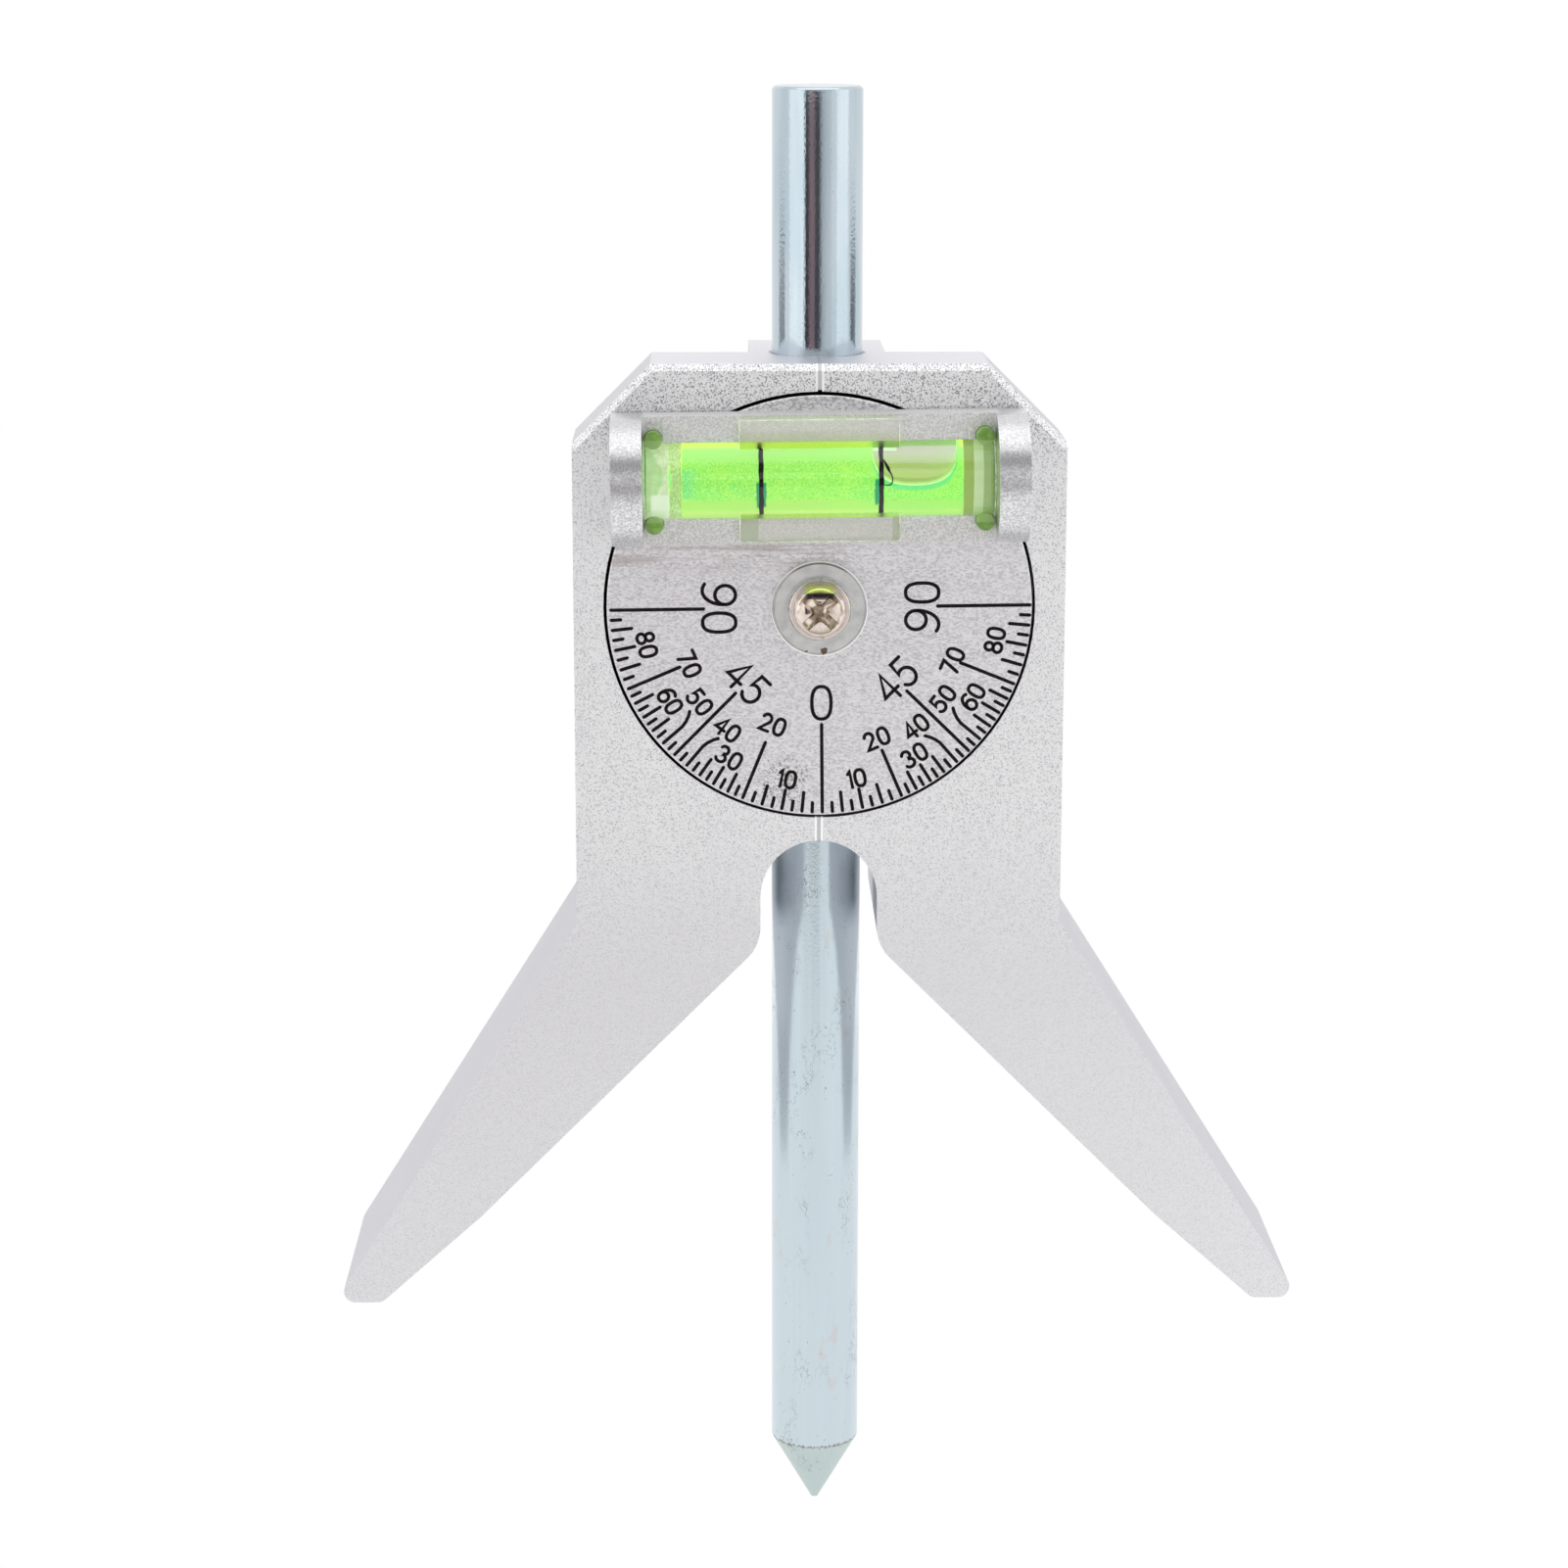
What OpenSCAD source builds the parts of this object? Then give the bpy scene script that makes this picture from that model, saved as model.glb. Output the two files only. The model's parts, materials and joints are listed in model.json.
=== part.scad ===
// Pipe center finder: a Y-shaped head straddles a pipe on its two legs, a dial with a bubble level
// turns on the front of the head, and a steel center punch slides through the head on the pipe's
// center line. Origin: where the two inner leg faces would meet, on the punch axis.
// +X is right, +Z is up and the dial faces -Y.

/* [Head] */
// Width of the head above the legs
head_w = 53.5; // [50:0.5:80]
// Height of the top edge above the point of the V
head_rise = 58; // [56:0.5:90]
// Depth of the legs and of the punch boss, front to back
head_d = 25; // [22:0.5:40]
// Thickness of the front plate that carries the dial
plate_t = 12.5; // [11:0.5:16]
// Height and width of the cut top corners
corner_cut = 8.5; // [2:0.5:12]
// Drop from the point of the V to where the legs leave the head
waist_drop = 3.8; // [0:0.1:8]
// Top of the full-depth yoke above the point of the V
yoke_rise = 12; // [9:0.5:30]
// Width of the boss around the punch bore
boss_w = 15; // [13.5:0.5:24]
// Bevel along the front top edges
edge_bevel = 0.7; // [0.2:0.1:1.5]
// Width of the zero mark grooves
mark_w = 0.5; // [0.3:0.1:1]
// Depth of the zero mark grooves
mark_depth = 0.25; // [0.1:0.05:0.5]

/* [Legs] */
// Drop from the point of the V to the soles
foot_drop = 48; // [44:0.5:90]
// Half span of the feet at their outer corners
foot_reach = 54.6; // [53:0.1:100]
// Width of the flat sole of a foot
foot_w = 5.35; // [3:0.05:7]
// Half span at which the 45 degree inner face ends
bend_reach = 37.9; // [30:0.1:41]
// Rounding of the foot corners
foot_r = 1.3; // [0.5:0.1:1.5]
// Half width of the arch where the punch leaves the head
arch_r = 6.45; // [6.2:0.05:8]
// Height of the arch above the point of the V
arch_rise = 5.5; // [4:0.1:6.4]
// Rounding where the arch meets the V
lip_r = 5; // [2:0.5:7]

/* [Punch] */
// Diameter of the punch
punch_d = 10; // [8:0.1:10.4]
// Length of the punch
punch_l = 164; // [140:1:220]
// Height that the punch stands out of the head
punch_out = 29; // [10:1:50]
// Full angle of the punch point
point_angle = 60; // [40:5:90]
// Diameter of the blunt end of the point
point_d = 0.7; // [0.2:0.1:2]
// Chamfer of the struck end
punch_chamfer = 0.3; // [0.1:0.1:1]
// Radial running clearance of the punch in its bore
punch_play = 0.05; // [0.02:0.01:0.1]

/* [Dial] */
// Diameter of the dial
dial_d = 46.4; // [40:0.1:48]
// Thickness of the dial
dial_t = 2.8; // [2.4:0.1:4]
// Height of the dial's center above the point of the V
dial_rise = 31.6; // [31:0.1:34]
// Depth of the dial's recess
recess_depth = 2.7; // [2.4:0.1:3.2]
// Radial gap around the dial
dial_gap = 0.3; // [0.2:0.05:0.6]
// Turn of the dial at rest
dial_rest = 0.6; // [0:0.1:5]
// Width of a scale line
tick_w = 0.32; // [0.1:0.02:0.5]
// Thickness of the scale's enamel
tick_t = 0.05; // [0.03:0.01:0.1]
// Gap between the scale and the dial's rim
tick_edge = 0.5; // [0.3:0.1:1]
// Length of a fine scale line
tick_fine = 1.0; // [0.6:0.1:1.4]
// Length of a five degree scale line
tick_mid = 2.05; // [1.5:0.05:2.5]
// Length of the scale lines at 20 and 70 degrees
tick_long = 6.0; // [4:0.1:7]
// Length of the scale lines at 0, 45 and 90 degrees
tick_main = 9.8; // [8:0.1:10.5]

/* [Level] */
// Length of the level holder
holder_l = 44.5; // [43:0.5:60]
// Height of the level holder
holder_h = 13.84; // [13.6:0.02:14.4]
// Thickness of the holder's base behind the vial
base_t = 4; // [3.8:0.1:5]
// Thickness of a cheek
cheek_t = 3.4; // [2.5:0.1:4]
// Height of the holder's axis above the dial's center
holder_rise = 14.6; // [14.2:0.1:15]
// Gap between the vial and its seats
vial_gap = 0.1; // [0.05:0.05:0.2]
// Height of the vial's flange
flange_h = 13.2; // [13:0.1:13.4]
// Thickness of the vial's flange
flange_t = 1.8; // [1.6:0.1:2.2]
// Width of the vial's raised middle
middle_w = 17.2; // [15:0.1:20]
// Thickness of the vial's raised middle
middle_t = 3.9; // [3:0.1:4.2]
// Outer diameter of the vial's barrel
barrel_d = 8.5; // [8.2:0.1:8.7]
// Distance from the holder's base to the barrel's axis
barrel_out = 1.5; // [1.3:0.1:1.7]
// Diameter of the vial's chamber
chamber_d = 6.4; // [5.8:0.1:6.6]
// Thickness of the wall at the vial's closed end
end_wall = 3.5; // [2:0.1:5]
// Length of the vial's end plug
plug_l = 4.2; // [3:0.1:6]
// Distance between the two reading lines
lines_apart = 12.8; // [10:0.1:15]
// Width of a reading line
line_w = 0.4; // [0.2:0.05:0.6]
// Thickness of a reading line
line_t = 0.15; // [0.1:0.05:0.3]
// Length of the bubble
bubble_l = 8; // [5:0.5:9]
// Diameter of the bubble
bubble_d = 3.8; // [3:0.1:4.4]
// Diameter of a vial pin
pin_d = 1.9; // [1.6:0.1:2]
// Length of a vial pin
pin_l = 3.1; // [2.6:0.1:3.4]

/* [Fasteners] */
// Thread diameter of the center screw
screw_d = 3.5; // [3:0.1:4]
// Head diameter of the center screw
screw_head_d = 6.6; // [6:0.1:7]
// Head height of the center screw
screw_head_h = 2.1; // [1.8:0.1:2.6]
// Length of thread in the head
screw_grip = 4; // [3:0.1:4.1]
// Diameter of the flat washer
washer_d = 10.5; // [9:0.1:12]
// Thickness of the flat washer
washer_t = 0.8; // [0.5:0.1:1]
// Diameter of the split washer
split_d = 7; // [6.4:0.1:7.4]
// Thickness of the split washer
split_t = 0.6; // [0.4:0.1:1]
// Diameter of the friction washer behind the dial
friction_d = 16; // [12:0.5:20]
// Thickness of the friction washer
friction_t = 0.2; // [0.1:0.05:0.4]
// Thread diameter of a holder screw
holder_screw_d = 2; // [1.6:0.1:2.2]
// Length of a holder screw
holder_screw_l = 5.8; // [5:0.1:6]
// Diameter of the set screw in the boss
set_screw_d = 4; // [3.6:0.1:5]
// Length of the set screw
set_screw_l = 2.1; // [1.8:0.1:3]
// Height of the set screw above the point of the V
set_screw_rise = 44; // [20:1:52]
// Diameter of the friction ball
ball_d = 2.5; // [2:0.1:3]
// Diameter of the friction spring's wire
wire_d = 0.3; // [0.2:0.05:0.4]
// Turns of the friction spring
spring_turns = 3; // [2:0.5:4]

/* [Hidden] */
$fn = 64;

// Overrun of every cut past the face that it leaves
over = 1;
// Axial gap on each side of the dial
dial_float = 0.05;
// Clearance of pieces that are seated in one another
seat_fit = 0.02;
// Points along one rounded corner of an outline
arc_steps = 10;

// Head
front_y = -head_d / 2;
back_y = head_d / 2;
plate_back_y = front_y + plate_t;
half_w = head_w / 2;
bore_r = punch_d / 2 + punch_play;
bore_flare = 0.3;
foot_inner = foot_reach - foot_w;

// Dial stack, from the recess floor forwards
recess_y = front_y + recess_depth;
dial_back_y = recess_y - friction_t - dial_float;
dial_front_y = dial_back_y - dial_t;
washer_back_y = dial_front_y - dial_float;
split_back_y = washer_back_y - washer_t;
screw_seat_y = split_back_y - split_t;
dial_r = dial_d / 2;
recess_r = dial_r + dial_gap;
dial_bevel = 0.2;
screw_play = 0.08;
washer_play = 0.12;
thread_end = 0.2;

// Level
base_front_y = dial_front_y - base_t;
barrel_y = base_front_y - barrel_out;
holder_r = holder_h / 2;
pocket_l = holder_l - 2 * cheek_t;
vial_l = pocket_l - 2 * vial_gap;
chamber_l = vial_l - end_wall;
chamber_x = -vial_l / 2;
fluid_x = chamber_x + plug_l;
fluid_l = chamber_l - plug_l;
bubble_end_gap = 0.6;
bubble_x = chamber_x + chamber_l - bubble_end_gap - bubble_l;
bubble_lift = (chamber_d - bubble_d) / 2 + bubble_end_gap / 2;
pin_x = vial_l / 2 - pin_d / 2 - vial_gap;
pin_cover_share = 1 / 3;
pin_z = barrel_d / 2 + pin_d / 2 * pin_cover_share;
pin_front_y = base_front_y - flange_t + vial_gap;
holder_screw_x = 12;
screw_flare_share = 0.95;
holder_screw_z = -(holder_r + barrel_d / 2 - vial_gap) / 2;
holder_screw_head_r = holder_screw_d * screw_flare_share;
holder_screw_head_h = holder_screw_d / 2;
holder_screw_end = 0.3;

// Fasteners
cross_w_share = 0.16;
cross_l_share = 0.66;
cross_depth_share = 0.6;
split_gap = 0.5;
split_turn = 30;
ball_gap = 0.1;
ball_y = punch_d / 2 + ball_gap + ball_d / 2;
ball_play = 0.1;
ball_bore_r = ball_d / 2 + ball_play;
set_screw_sink = 0.1;
set_screw_y = back_y - set_screw_sink - set_screw_l;
socket_share = 0.3;
socket_depth_share = 0.55;
spring_start_y = ball_y + ball_d / 2 + wire_d / 2 + seat_fit;
spring_end_y = set_screw_y - wire_d / 2 - seat_fit;
spring_r = ball_bore_r - wire_d;
spring_rings = 16;
spring_sides = 6;

function unit(v) = v / norm(v);

// Points of the arc of radius r that rounds the corner b between a and c
function corner_arc(a, b, c, r) = r == 0 ? [b] :
    let (u = unit(a - b), v = unit(c - b), half = acos(u * v) / 2)
    let (start = b + u * r / tan(half), end = b + v * r / tan(half))
    let (mid = b + unit(u + v) * r / sin(half))
    let (from = atan2(start.y - mid.y, start.x - mid.x), to = atan2(end.y - mid.y, end.x - mid.x))
    let (turn = (to - from + 540) % 360 - 180)
    [for (i = [0:arc_steps]) let (t = from + turn * i / arc_steps) mid + r * [cos(t), sin(t)]];

// An outline from rows of [x, z, corner radius]
function outline(rows) = let (n = len(rows), xz = [for (row = rows) [row.x, row.y]])
    [for (i = [0:n - 1]) each corner_arc(xz[(i + n - 1) % n], xz[i], xz[(i + 1) % n], rows[i][2])];

// The right half of the head's outline, from the top edge round to the arch
function head_half() = [
    [half_w - corner_cut, head_rise, 0],
    [half_w, head_rise - corner_cut, 0],
    [half_w, -waist_drop, 0],
    [foot_reach, -foot_drop, foot_r],
    [foot_inner, -foot_drop, foot_r],
    [bend_reach, -bend_reach, foot_r],
    [arch_r, -arch_r, lip_r],
    [arch_r, arch_rise, arch_r - seat_fit]];

function mirrored(rows) = [for (i = [len(rows) - 1:-1:0]) [-rows[i].x, rows[i].y, rows[i][2]]];

// Extrudes an outline of the front view from y0 back to y1
module slab(y0, y1) {
    translate([0, y1, 0]) rotate([90, 0, 0]) linear_extrude(y1 - y0) children();
}

// A cylinder along Y from y0 back to y1
module rod_y(y0, y1, r) {
    translate([0, y1, 0]) rotate([90, 0, 0]) cylinder(h = y1 - y0, r = r);
}

// A cone along Y with radius r0 at y0 and r1 further back at y1
module cone_y(y0, y1, r0, r1) {
    translate([0, y1, 0]) rotate([90, 0, 0]) cylinder(h = y1 - y0, r1 = r1, r2 = r0);
}

// A cylinder along X of length l from x
module rod_x(x, l, r) {
    translate([x, 0, 0]) rotate([0, 90, 0]) cylinder(h = l, r = r);
}

// A box w wide and h high around the Y axis, from y0 back to y1
module centered(w, y0, y1, h) {
    translate([-w / 2, y0, -h / 2]) cube([w, y1 - y0, h]);
}

// Places what turns with the dial: the origin's x and z move to the dial's center
module on_dial() {
    translate([0, 0, dial_rise]) rotate([0, -dial_rest, 0]) children();
}

// Places what lies on the level holder's axis
module on_holder() {
    on_dial() translate([0, 0, holder_rise]) children();
}

// A bar whose corner cuts a bevel along an edge of length l
module bevel_bar(l) {
    rotate([45, 0, 0]) cube([l, edge_bevel * sqrt(2), edge_bevel * sqrt(2)], center = true);
}

module head_blank() {
    half = head_half();
    slab(front_y, plate_back_y) polygon(outline(concat(half, mirrored(half))));
    intersection() {
        slab(front_y, back_y) polygon(outline(concat(half, mirrored(half))));
        translate([0, 0, yoke_rise - head_rise])
            centered(3 * foot_reach, front_y - over, back_y + over, 2 * head_rise);
    }
    slab(plate_back_y - seat_fit, back_y) translate([-boss_w / 2, yoke_rise - seat_fit])
        square([boss_w, head_rise - yoke_rise + seat_fit]);
}

module head() {
    color([0.82, 0.82, 0.84]) difference() {
        head_blank();
        cylinder(h = head_rise + over, r = bore_r);
        translate([0, 0, head_rise - bore_flare])
            cylinder(h = bore_flare * 2, r1 = bore_r, r2 = bore_r + bore_flare * 2);
        translate([0, 0, dial_rise]) {
            rod_y(front_y - over, recess_y, recess_r);
            rod_y(recess_y - over, recess_y + screw_grip + thread_end, screw_d / 2);
        }
        translate([0, 0, (head_rise - edge_bevel) / 2])
            centered(mark_w, front_y - over, front_y + mark_depth, head_rise - edge_bevel);
        translate([0, front_y, head_rise]) bevel_bar(head_w);
        for (side = [-1, 1])
            translate([side * (half_w - corner_cut / 2), front_y, head_rise - corner_cut / 2])
                rotate([0, side * 45, 0]) bevel_bar(corner_cut * sqrt(2) + edge_bevel);
        translate([0, 0, set_screw_rise]) {
            rod_y(0, back_y, ball_bore_r);
            rod_y(set_screw_y, back_y + over, set_screw_d / 2);
        }
    }
}

module dial_plate() {
    color([0.78, 0.78, 0.8]) on_dial() difference() {
        union() {
            rod_y(dial_front_y + dial_bevel, dial_back_y, dial_r);
            cone_y(dial_front_y, dial_front_y + dial_bevel, dial_r - dial_bevel, dial_r);
        }
        rod_y(dial_front_y - over, dial_back_y + over, screw_d / 2 + screw_play);
        translate([0, 0, holder_rise]) holder_screw_cuts();
    }
}

// The holes for the screws that hold the level holder from behind
module holder_screw_cuts() {
    r = holder_screw_d / 2 + seat_fit;
    holder_screw_places() {
        rod_y(dial_back_y - holder_screw_l - holder_screw_end, dial_back_y + over, r);
        cone_y(dial_back_y - holder_screw_head_h, dial_back_y, r, holder_screw_head_r + seat_fit);
    }
}

module holder_screw_places() {
    for (side = [-1, 1]) translate([side * holder_screw_x, 0, holder_screw_z]) children();
}

// Length of the scale line at a degrees
function tick_length(a) = a % 45 == 0 ? tick_main : a == 20 || a == 70 ? tick_long :
    a % 5 == 0 ? tick_mid : tick_fine;

// Where the value a of the scale stands: 20, 45, 70 and 90 are 22.5 degrees apart
function scale_angle(a) = lookup(a, [[0, 0], [20, 22.5], [45, 45], [70, 67.5], [90, 90]]);

module dial_scale() {
    color([0.06, 0.05, 0.06]) on_dial() for (a = [0:2.5:90], side = a == 0 ? [1] : [-1, 1])
        rotate([0, side * scale_angle(a), 0])
            translate([-tick_w / 2, dial_front_y - tick_t, tick_edge - dial_r])
                cube([tick_w, tick_t, tick_length(a)]);
}

module level_holder() {
    color([0.8, 0.8, 0.82]) on_holder() difference() {
        union() {
            centered(holder_l, base_front_y, dial_front_y, holder_h);
            intersection() {
                translate([0, base_front_y, 0]) rod_x(-holder_l / 2, holder_l, holder_r);
                centered(2 * holder_l, base_front_y - holder_h, base_front_y + base_t / 2, 2 * holder_h);
            }
        }
        centered(pocket_l, base_front_y - holder_h, base_front_y, 2 * holder_h);
        translate([0, barrel_y, 0]) rod_x(-pocket_l / 2, pocket_l, barrel_d / 2 + vial_gap);
        holder_screw_cuts();
        vial_pin_cuts();
    }
}

module holder_screws() {
    r = holder_screw_d / 2;
    color([0.7, 0.7, 0.7]) on_holder() holder_screw_places() difference() {
        union() {
            rod_y(dial_back_y - holder_screw_l, dial_back_y, r);
            cone_y(dial_back_y - holder_screw_head_h, dial_back_y, r, holder_screw_head_r);
        }
        translate([0, dial_back_y, 0])
            cross_recess(0, -holder_screw_head_h * cross_depth_share, holder_screw_head_r);
    }
}

// A cross-shaped driver recess from y at its mouth to y at its bottom, in a head of radius r
module cross_recess(mouth, bottom, r) {
    past = mouth < bottom ? mouth - over : mouth + over;
    for (turn = [45, 135]) rotate([0, turn, 0])
        centered(2 * r * cross_l_share, min(past, bottom), max(past, bottom), 2 * r * cross_w_share);
}

module vial_pin_places() {
    for (x = [-pin_x, pin_x], z = [-pin_z, pin_z]) translate([x, 0, z]) children();
}

module vial_pin_cuts() {
    r = pin_d / 2 + seat_fit;
    vial_pin_places() rod_y(pin_front_y, pin_front_y + pin_l + vial_gap, r);
}

module vial_block() {
    color([0.85, 0.95, 0.85, 0.4]) on_holder() difference() {
        union() {
            centered(vial_l, base_front_y - flange_t, base_front_y, flange_h);
            centered(middle_w, base_front_y - middle_t, base_front_y, flange_h);
            translate([0, barrel_y, 0]) rod_x(-vial_l / 2, vial_l, barrel_d / 2);
        }
        translate([0, barrel_y, 0]) rod_x(chamber_x - over, chamber_l + over, chamber_d / 2);
        vial_pin_cuts();
    }
}

module vial_plug() {
    color([0.9, 0.95, 0.9, 0.5]) on_holder() translate([0, barrel_y, 0])
        rod_x(chamber_x, plug_l - seat_fit, chamber_d / 2 - seat_fit);
}

module vial_fluid() {
    color([0.55, 0.95, 0.15, 0.8]) on_holder() translate([0, barrel_y, 0]) difference() {
        rod_x(fluid_x, fluid_l - seat_fit, chamber_d / 2 - seat_fit);
        translate([0, 0, bubble_lift]) {
            rod_x(bubble_x + bubble_d / 2, bubble_l - bubble_d, bubble_d / 2);
            for (x = [bubble_x + bubble_d / 2, bubble_x + bubble_l - bubble_d / 2])
                translate([x, 0, 0]) sphere(d = bubble_d);
        }
        line_rings(seat_fit);
    }
}

// The two reading lines, grown by gap where they cut a seat
module line_rings(gap) {
    for (side = [-1, 1]) translate([side * lines_apart / 2, 0, 0]) difference() {
        rod_x(-line_w / 2 - gap, line_w + 2 * gap, chamber_d / 2 + gap);
        rod_x(-line_w, 2 * line_w, chamber_d / 2 - line_t - gap);
    }
}

module vial_lines() {
    color([0.05, 0.05, 0.05]) on_holder() translate([0, barrel_y, 0]) line_rings(-seat_fit);
}

module vial_pins() {
    color([0.35, 0.55, 0.15]) on_holder() vial_pin_places()
        rod_y(pin_front_y + seat_fit, pin_front_y + pin_l, pin_d / 2);
}

module center_screw() {
    head_r = screw_head_d / 2;
    color([0.85, 0.8, 0.78]) translate([0, 0, dial_rise]) difference() {
        union() {
            rod_y(screw_seat_y, recess_y + screw_grip, screw_d / 2);
            translate([0, screw_seat_y, 0]) rotate([90, 0, 0])
                rotate_extrude() pan_profile(head_r, screw_head_h);
        }
        translate([0, screw_seat_y - screw_head_h, 0])
            cross_recess(0, screw_head_h * cross_depth_share, head_r);
    }
}

// Half section of a pan head of radius r and height h, its crown a quarter ellipse
module pan_profile(r, h) {
    rim = h / 4;
    crown = h - rim;
    polygon(concat([[0, 0], [r, 0]], [for (t = [0:10:90]) [r * cos(t), rim + crown * sin(t)]]));
}

module split_washer() {
    color([0.7, 0.7, 0.68]) difference() {
        ring(screw_seat_y, split_back_y, split_d);
        translate([0, 0, dial_rise]) rotate([0, split_turn, 0]) translate([split_d / 2, 0, 0])
            centered(split_d, screw_seat_y - over, split_back_y + over, split_gap);
    }
}

// A flat ring around the center screw from y0 back to y1
module ring(y0, y1, d) {
    translate([0, 0, dial_rise]) difference() {
        rod_y(y0, y1, d / 2);
        rod_y(y0 - over, y1 + over, screw_d / 2 + washer_play);
    }
}

module flat_washer() {
    color([0.72, 0.74, 0.72]) ring(split_back_y, washer_back_y, washer_d);
}

module friction_washer() {
    color([0.9, 0.9, 0.86]) ring(recess_y - friction_t, recess_y, friction_d);
}

module center_punch() {
    r = punch_d / 2;
    top = head_rise + punch_out;
    tip = top - punch_l;
    cone = (r - point_d / 2) / tan(point_angle / 2);
    color([0.7, 0.75, 0.78]) rotate_extrude()
        polygon([[0, tip], [point_d / 2, tip], [r, tip + cone], [r, top - punch_chamfer],
            [r - punch_chamfer, top], [0, top]]);
}

module friction_ball() {
    color([0.75, 0.75, 0.78]) translate([0, ball_y, set_screw_rise]) sphere(d = ball_d);
}

// One point of the spring's wire: ring i of the helix, side j of the wire
function spring_point(i, j) =
    let (turn = 360 * spring_turns * i / (spring_rings * spring_turns), side = 360 * j / spring_sides)
    let (reach = spring_r + wire_d / 2 * cos(side))
    let (y = spring_start_y + (spring_end_y - spring_start_y) * i / (spring_rings * spring_turns))
    [reach * cos(turn), y + wire_d / 2 * sin(side), reach * sin(turn)];

module friction_spring() {
    rings = spring_rings * spring_turns;
    n = spring_sides;
    points = [for (i = [0:rings], j = [0:n - 1]) spring_point(i, j)];
    sides = [for (i = [0:rings - 1], j = [0:n - 1])
        let (a = i * n + j, b = i * n + (j + 1) % n) each [[a, b, b + n], [a, b + n, a + n]]];
    ends = [[for (j = [n - 1:-1:0]) j], [for (j = [0:n - 1]) rings * n + j]];
    color([0.6, 0.6, 0.62]) translate([0, 0, set_screw_rise]) polyhedron(points, concat(sides, ends));
}

module set_screw() {
    color([0.25, 0.25, 0.26]) translate([0, 0, set_screw_rise]) difference() {
        rod_y(set_screw_y, back_y - set_screw_sink, set_screw_d / 2 - seat_fit);
        translate([0, back_y, 0]) rotate([90, 0, 0])
            cylinder(h = set_screw_l * socket_depth_share, r = set_screw_d * socket_share, $fn = 6);
    }
}

head();
dial_plate();
dial_scale();
level_holder();
holder_screws();
vial_block();
vial_plug();
vial_fluid();
vial_lines();
vial_pins();
center_screw();
split_washer();
flat_washer();
friction_washer();
center_punch();
friction_ball();
friction_spring();
set_screw();
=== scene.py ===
"""The looks of the pipe center finder: finishes, dial figures, vial, screw, light, floor and camera."""

import json
import math

import bmesh
import bpy
from mathutils import Matrix, Vector

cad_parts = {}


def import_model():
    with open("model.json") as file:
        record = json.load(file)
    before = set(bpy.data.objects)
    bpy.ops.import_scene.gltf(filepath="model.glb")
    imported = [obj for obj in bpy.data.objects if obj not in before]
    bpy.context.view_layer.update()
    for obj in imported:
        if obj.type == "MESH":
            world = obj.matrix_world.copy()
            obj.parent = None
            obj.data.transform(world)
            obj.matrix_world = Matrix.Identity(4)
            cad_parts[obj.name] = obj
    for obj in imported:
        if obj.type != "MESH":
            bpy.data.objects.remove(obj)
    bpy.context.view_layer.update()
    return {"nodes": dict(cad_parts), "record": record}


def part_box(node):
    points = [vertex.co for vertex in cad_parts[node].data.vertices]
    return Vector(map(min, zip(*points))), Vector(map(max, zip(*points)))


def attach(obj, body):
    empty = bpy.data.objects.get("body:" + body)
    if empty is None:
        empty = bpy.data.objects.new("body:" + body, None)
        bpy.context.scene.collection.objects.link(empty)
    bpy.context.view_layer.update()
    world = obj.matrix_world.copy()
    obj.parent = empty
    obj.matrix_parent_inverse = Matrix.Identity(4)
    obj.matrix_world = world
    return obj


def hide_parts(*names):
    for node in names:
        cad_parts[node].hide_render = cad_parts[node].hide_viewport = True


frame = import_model()
nodes = frame["nodes"]

MM = 0.001
WHITE = (1, 1, 1)
# Black painted as shade in the narrow gap round the dial
PAINTED_GAP_SHADE_BLACK = (0.004, 0.004, 0.004)


def shift(x, y, z):
    """A matrix that moves by x, y and z."""
    return Matrix.Translation(Vector((x, y, z)))


def tilt(turn, axis):
    """A matrix that turns by radians about an axis."""
    return Matrix.Rotation(turn, 4, axis)


# Head
FRONT_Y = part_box("head")[0].y
HEAD_EDGE = 0.13 * MM
# The polished lips beside the zero marks: from and to in mm, either side of their middle
MARK_LIP = (0.24, 0.44)

# Dial: its own frame has x to the right, z up, and its center at the pivot
DIAL_REST = math.radians(0.6)
dial_low, dial_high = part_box("dial_plate")
PIVOT = Vector(((dial_low.x + dial_high.x) / 2, dial_low.y, (dial_low.z + dial_high.z) / 2))
DIAL_R = (dial_high.x - dial_low.x) / 2
# The dial's recess in the head, in millimetres
RECESS_R = DIAL_R / MM + 0.3
RECESS_DEEP = (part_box("friction_washer")[1].y - FRONT_Y) / MM
on_dial = shift(*PIVOT) @ tilt(-DIAL_REST, "Y")

# Dial lines
INK_T = 0.04 * MM
INK_SHIFT = 0.12 * MM
RIM_GAP = 0.22 * MM
TICK_W = 0.38 * MM
TICK_FINE = 1.0 * MM
TICK_MID = 2.1 * MM
TICK_MAIN = {0: 9.8 * MM, 45: 9.55 * MM, 90: 10.05 * MM}
TICK_20 = {-1: 6.65 * MM, 1: 5.5 * MM}
TICK_70 = {-1: 6.1 * MM, 1: 6.3 * MM}
# The curved leaders of 40 and 50: their length, the degrees that they bend by, and shares of both
LEADER_L = 3.25 * MM
LEADER_BEND = {40: -2.3, 50: 2.3}
LEADER_PATH = ((0, 0), (0.85, 0), (1.05, 0.2), (1.25, 0.6), (1.37, 1))

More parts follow.
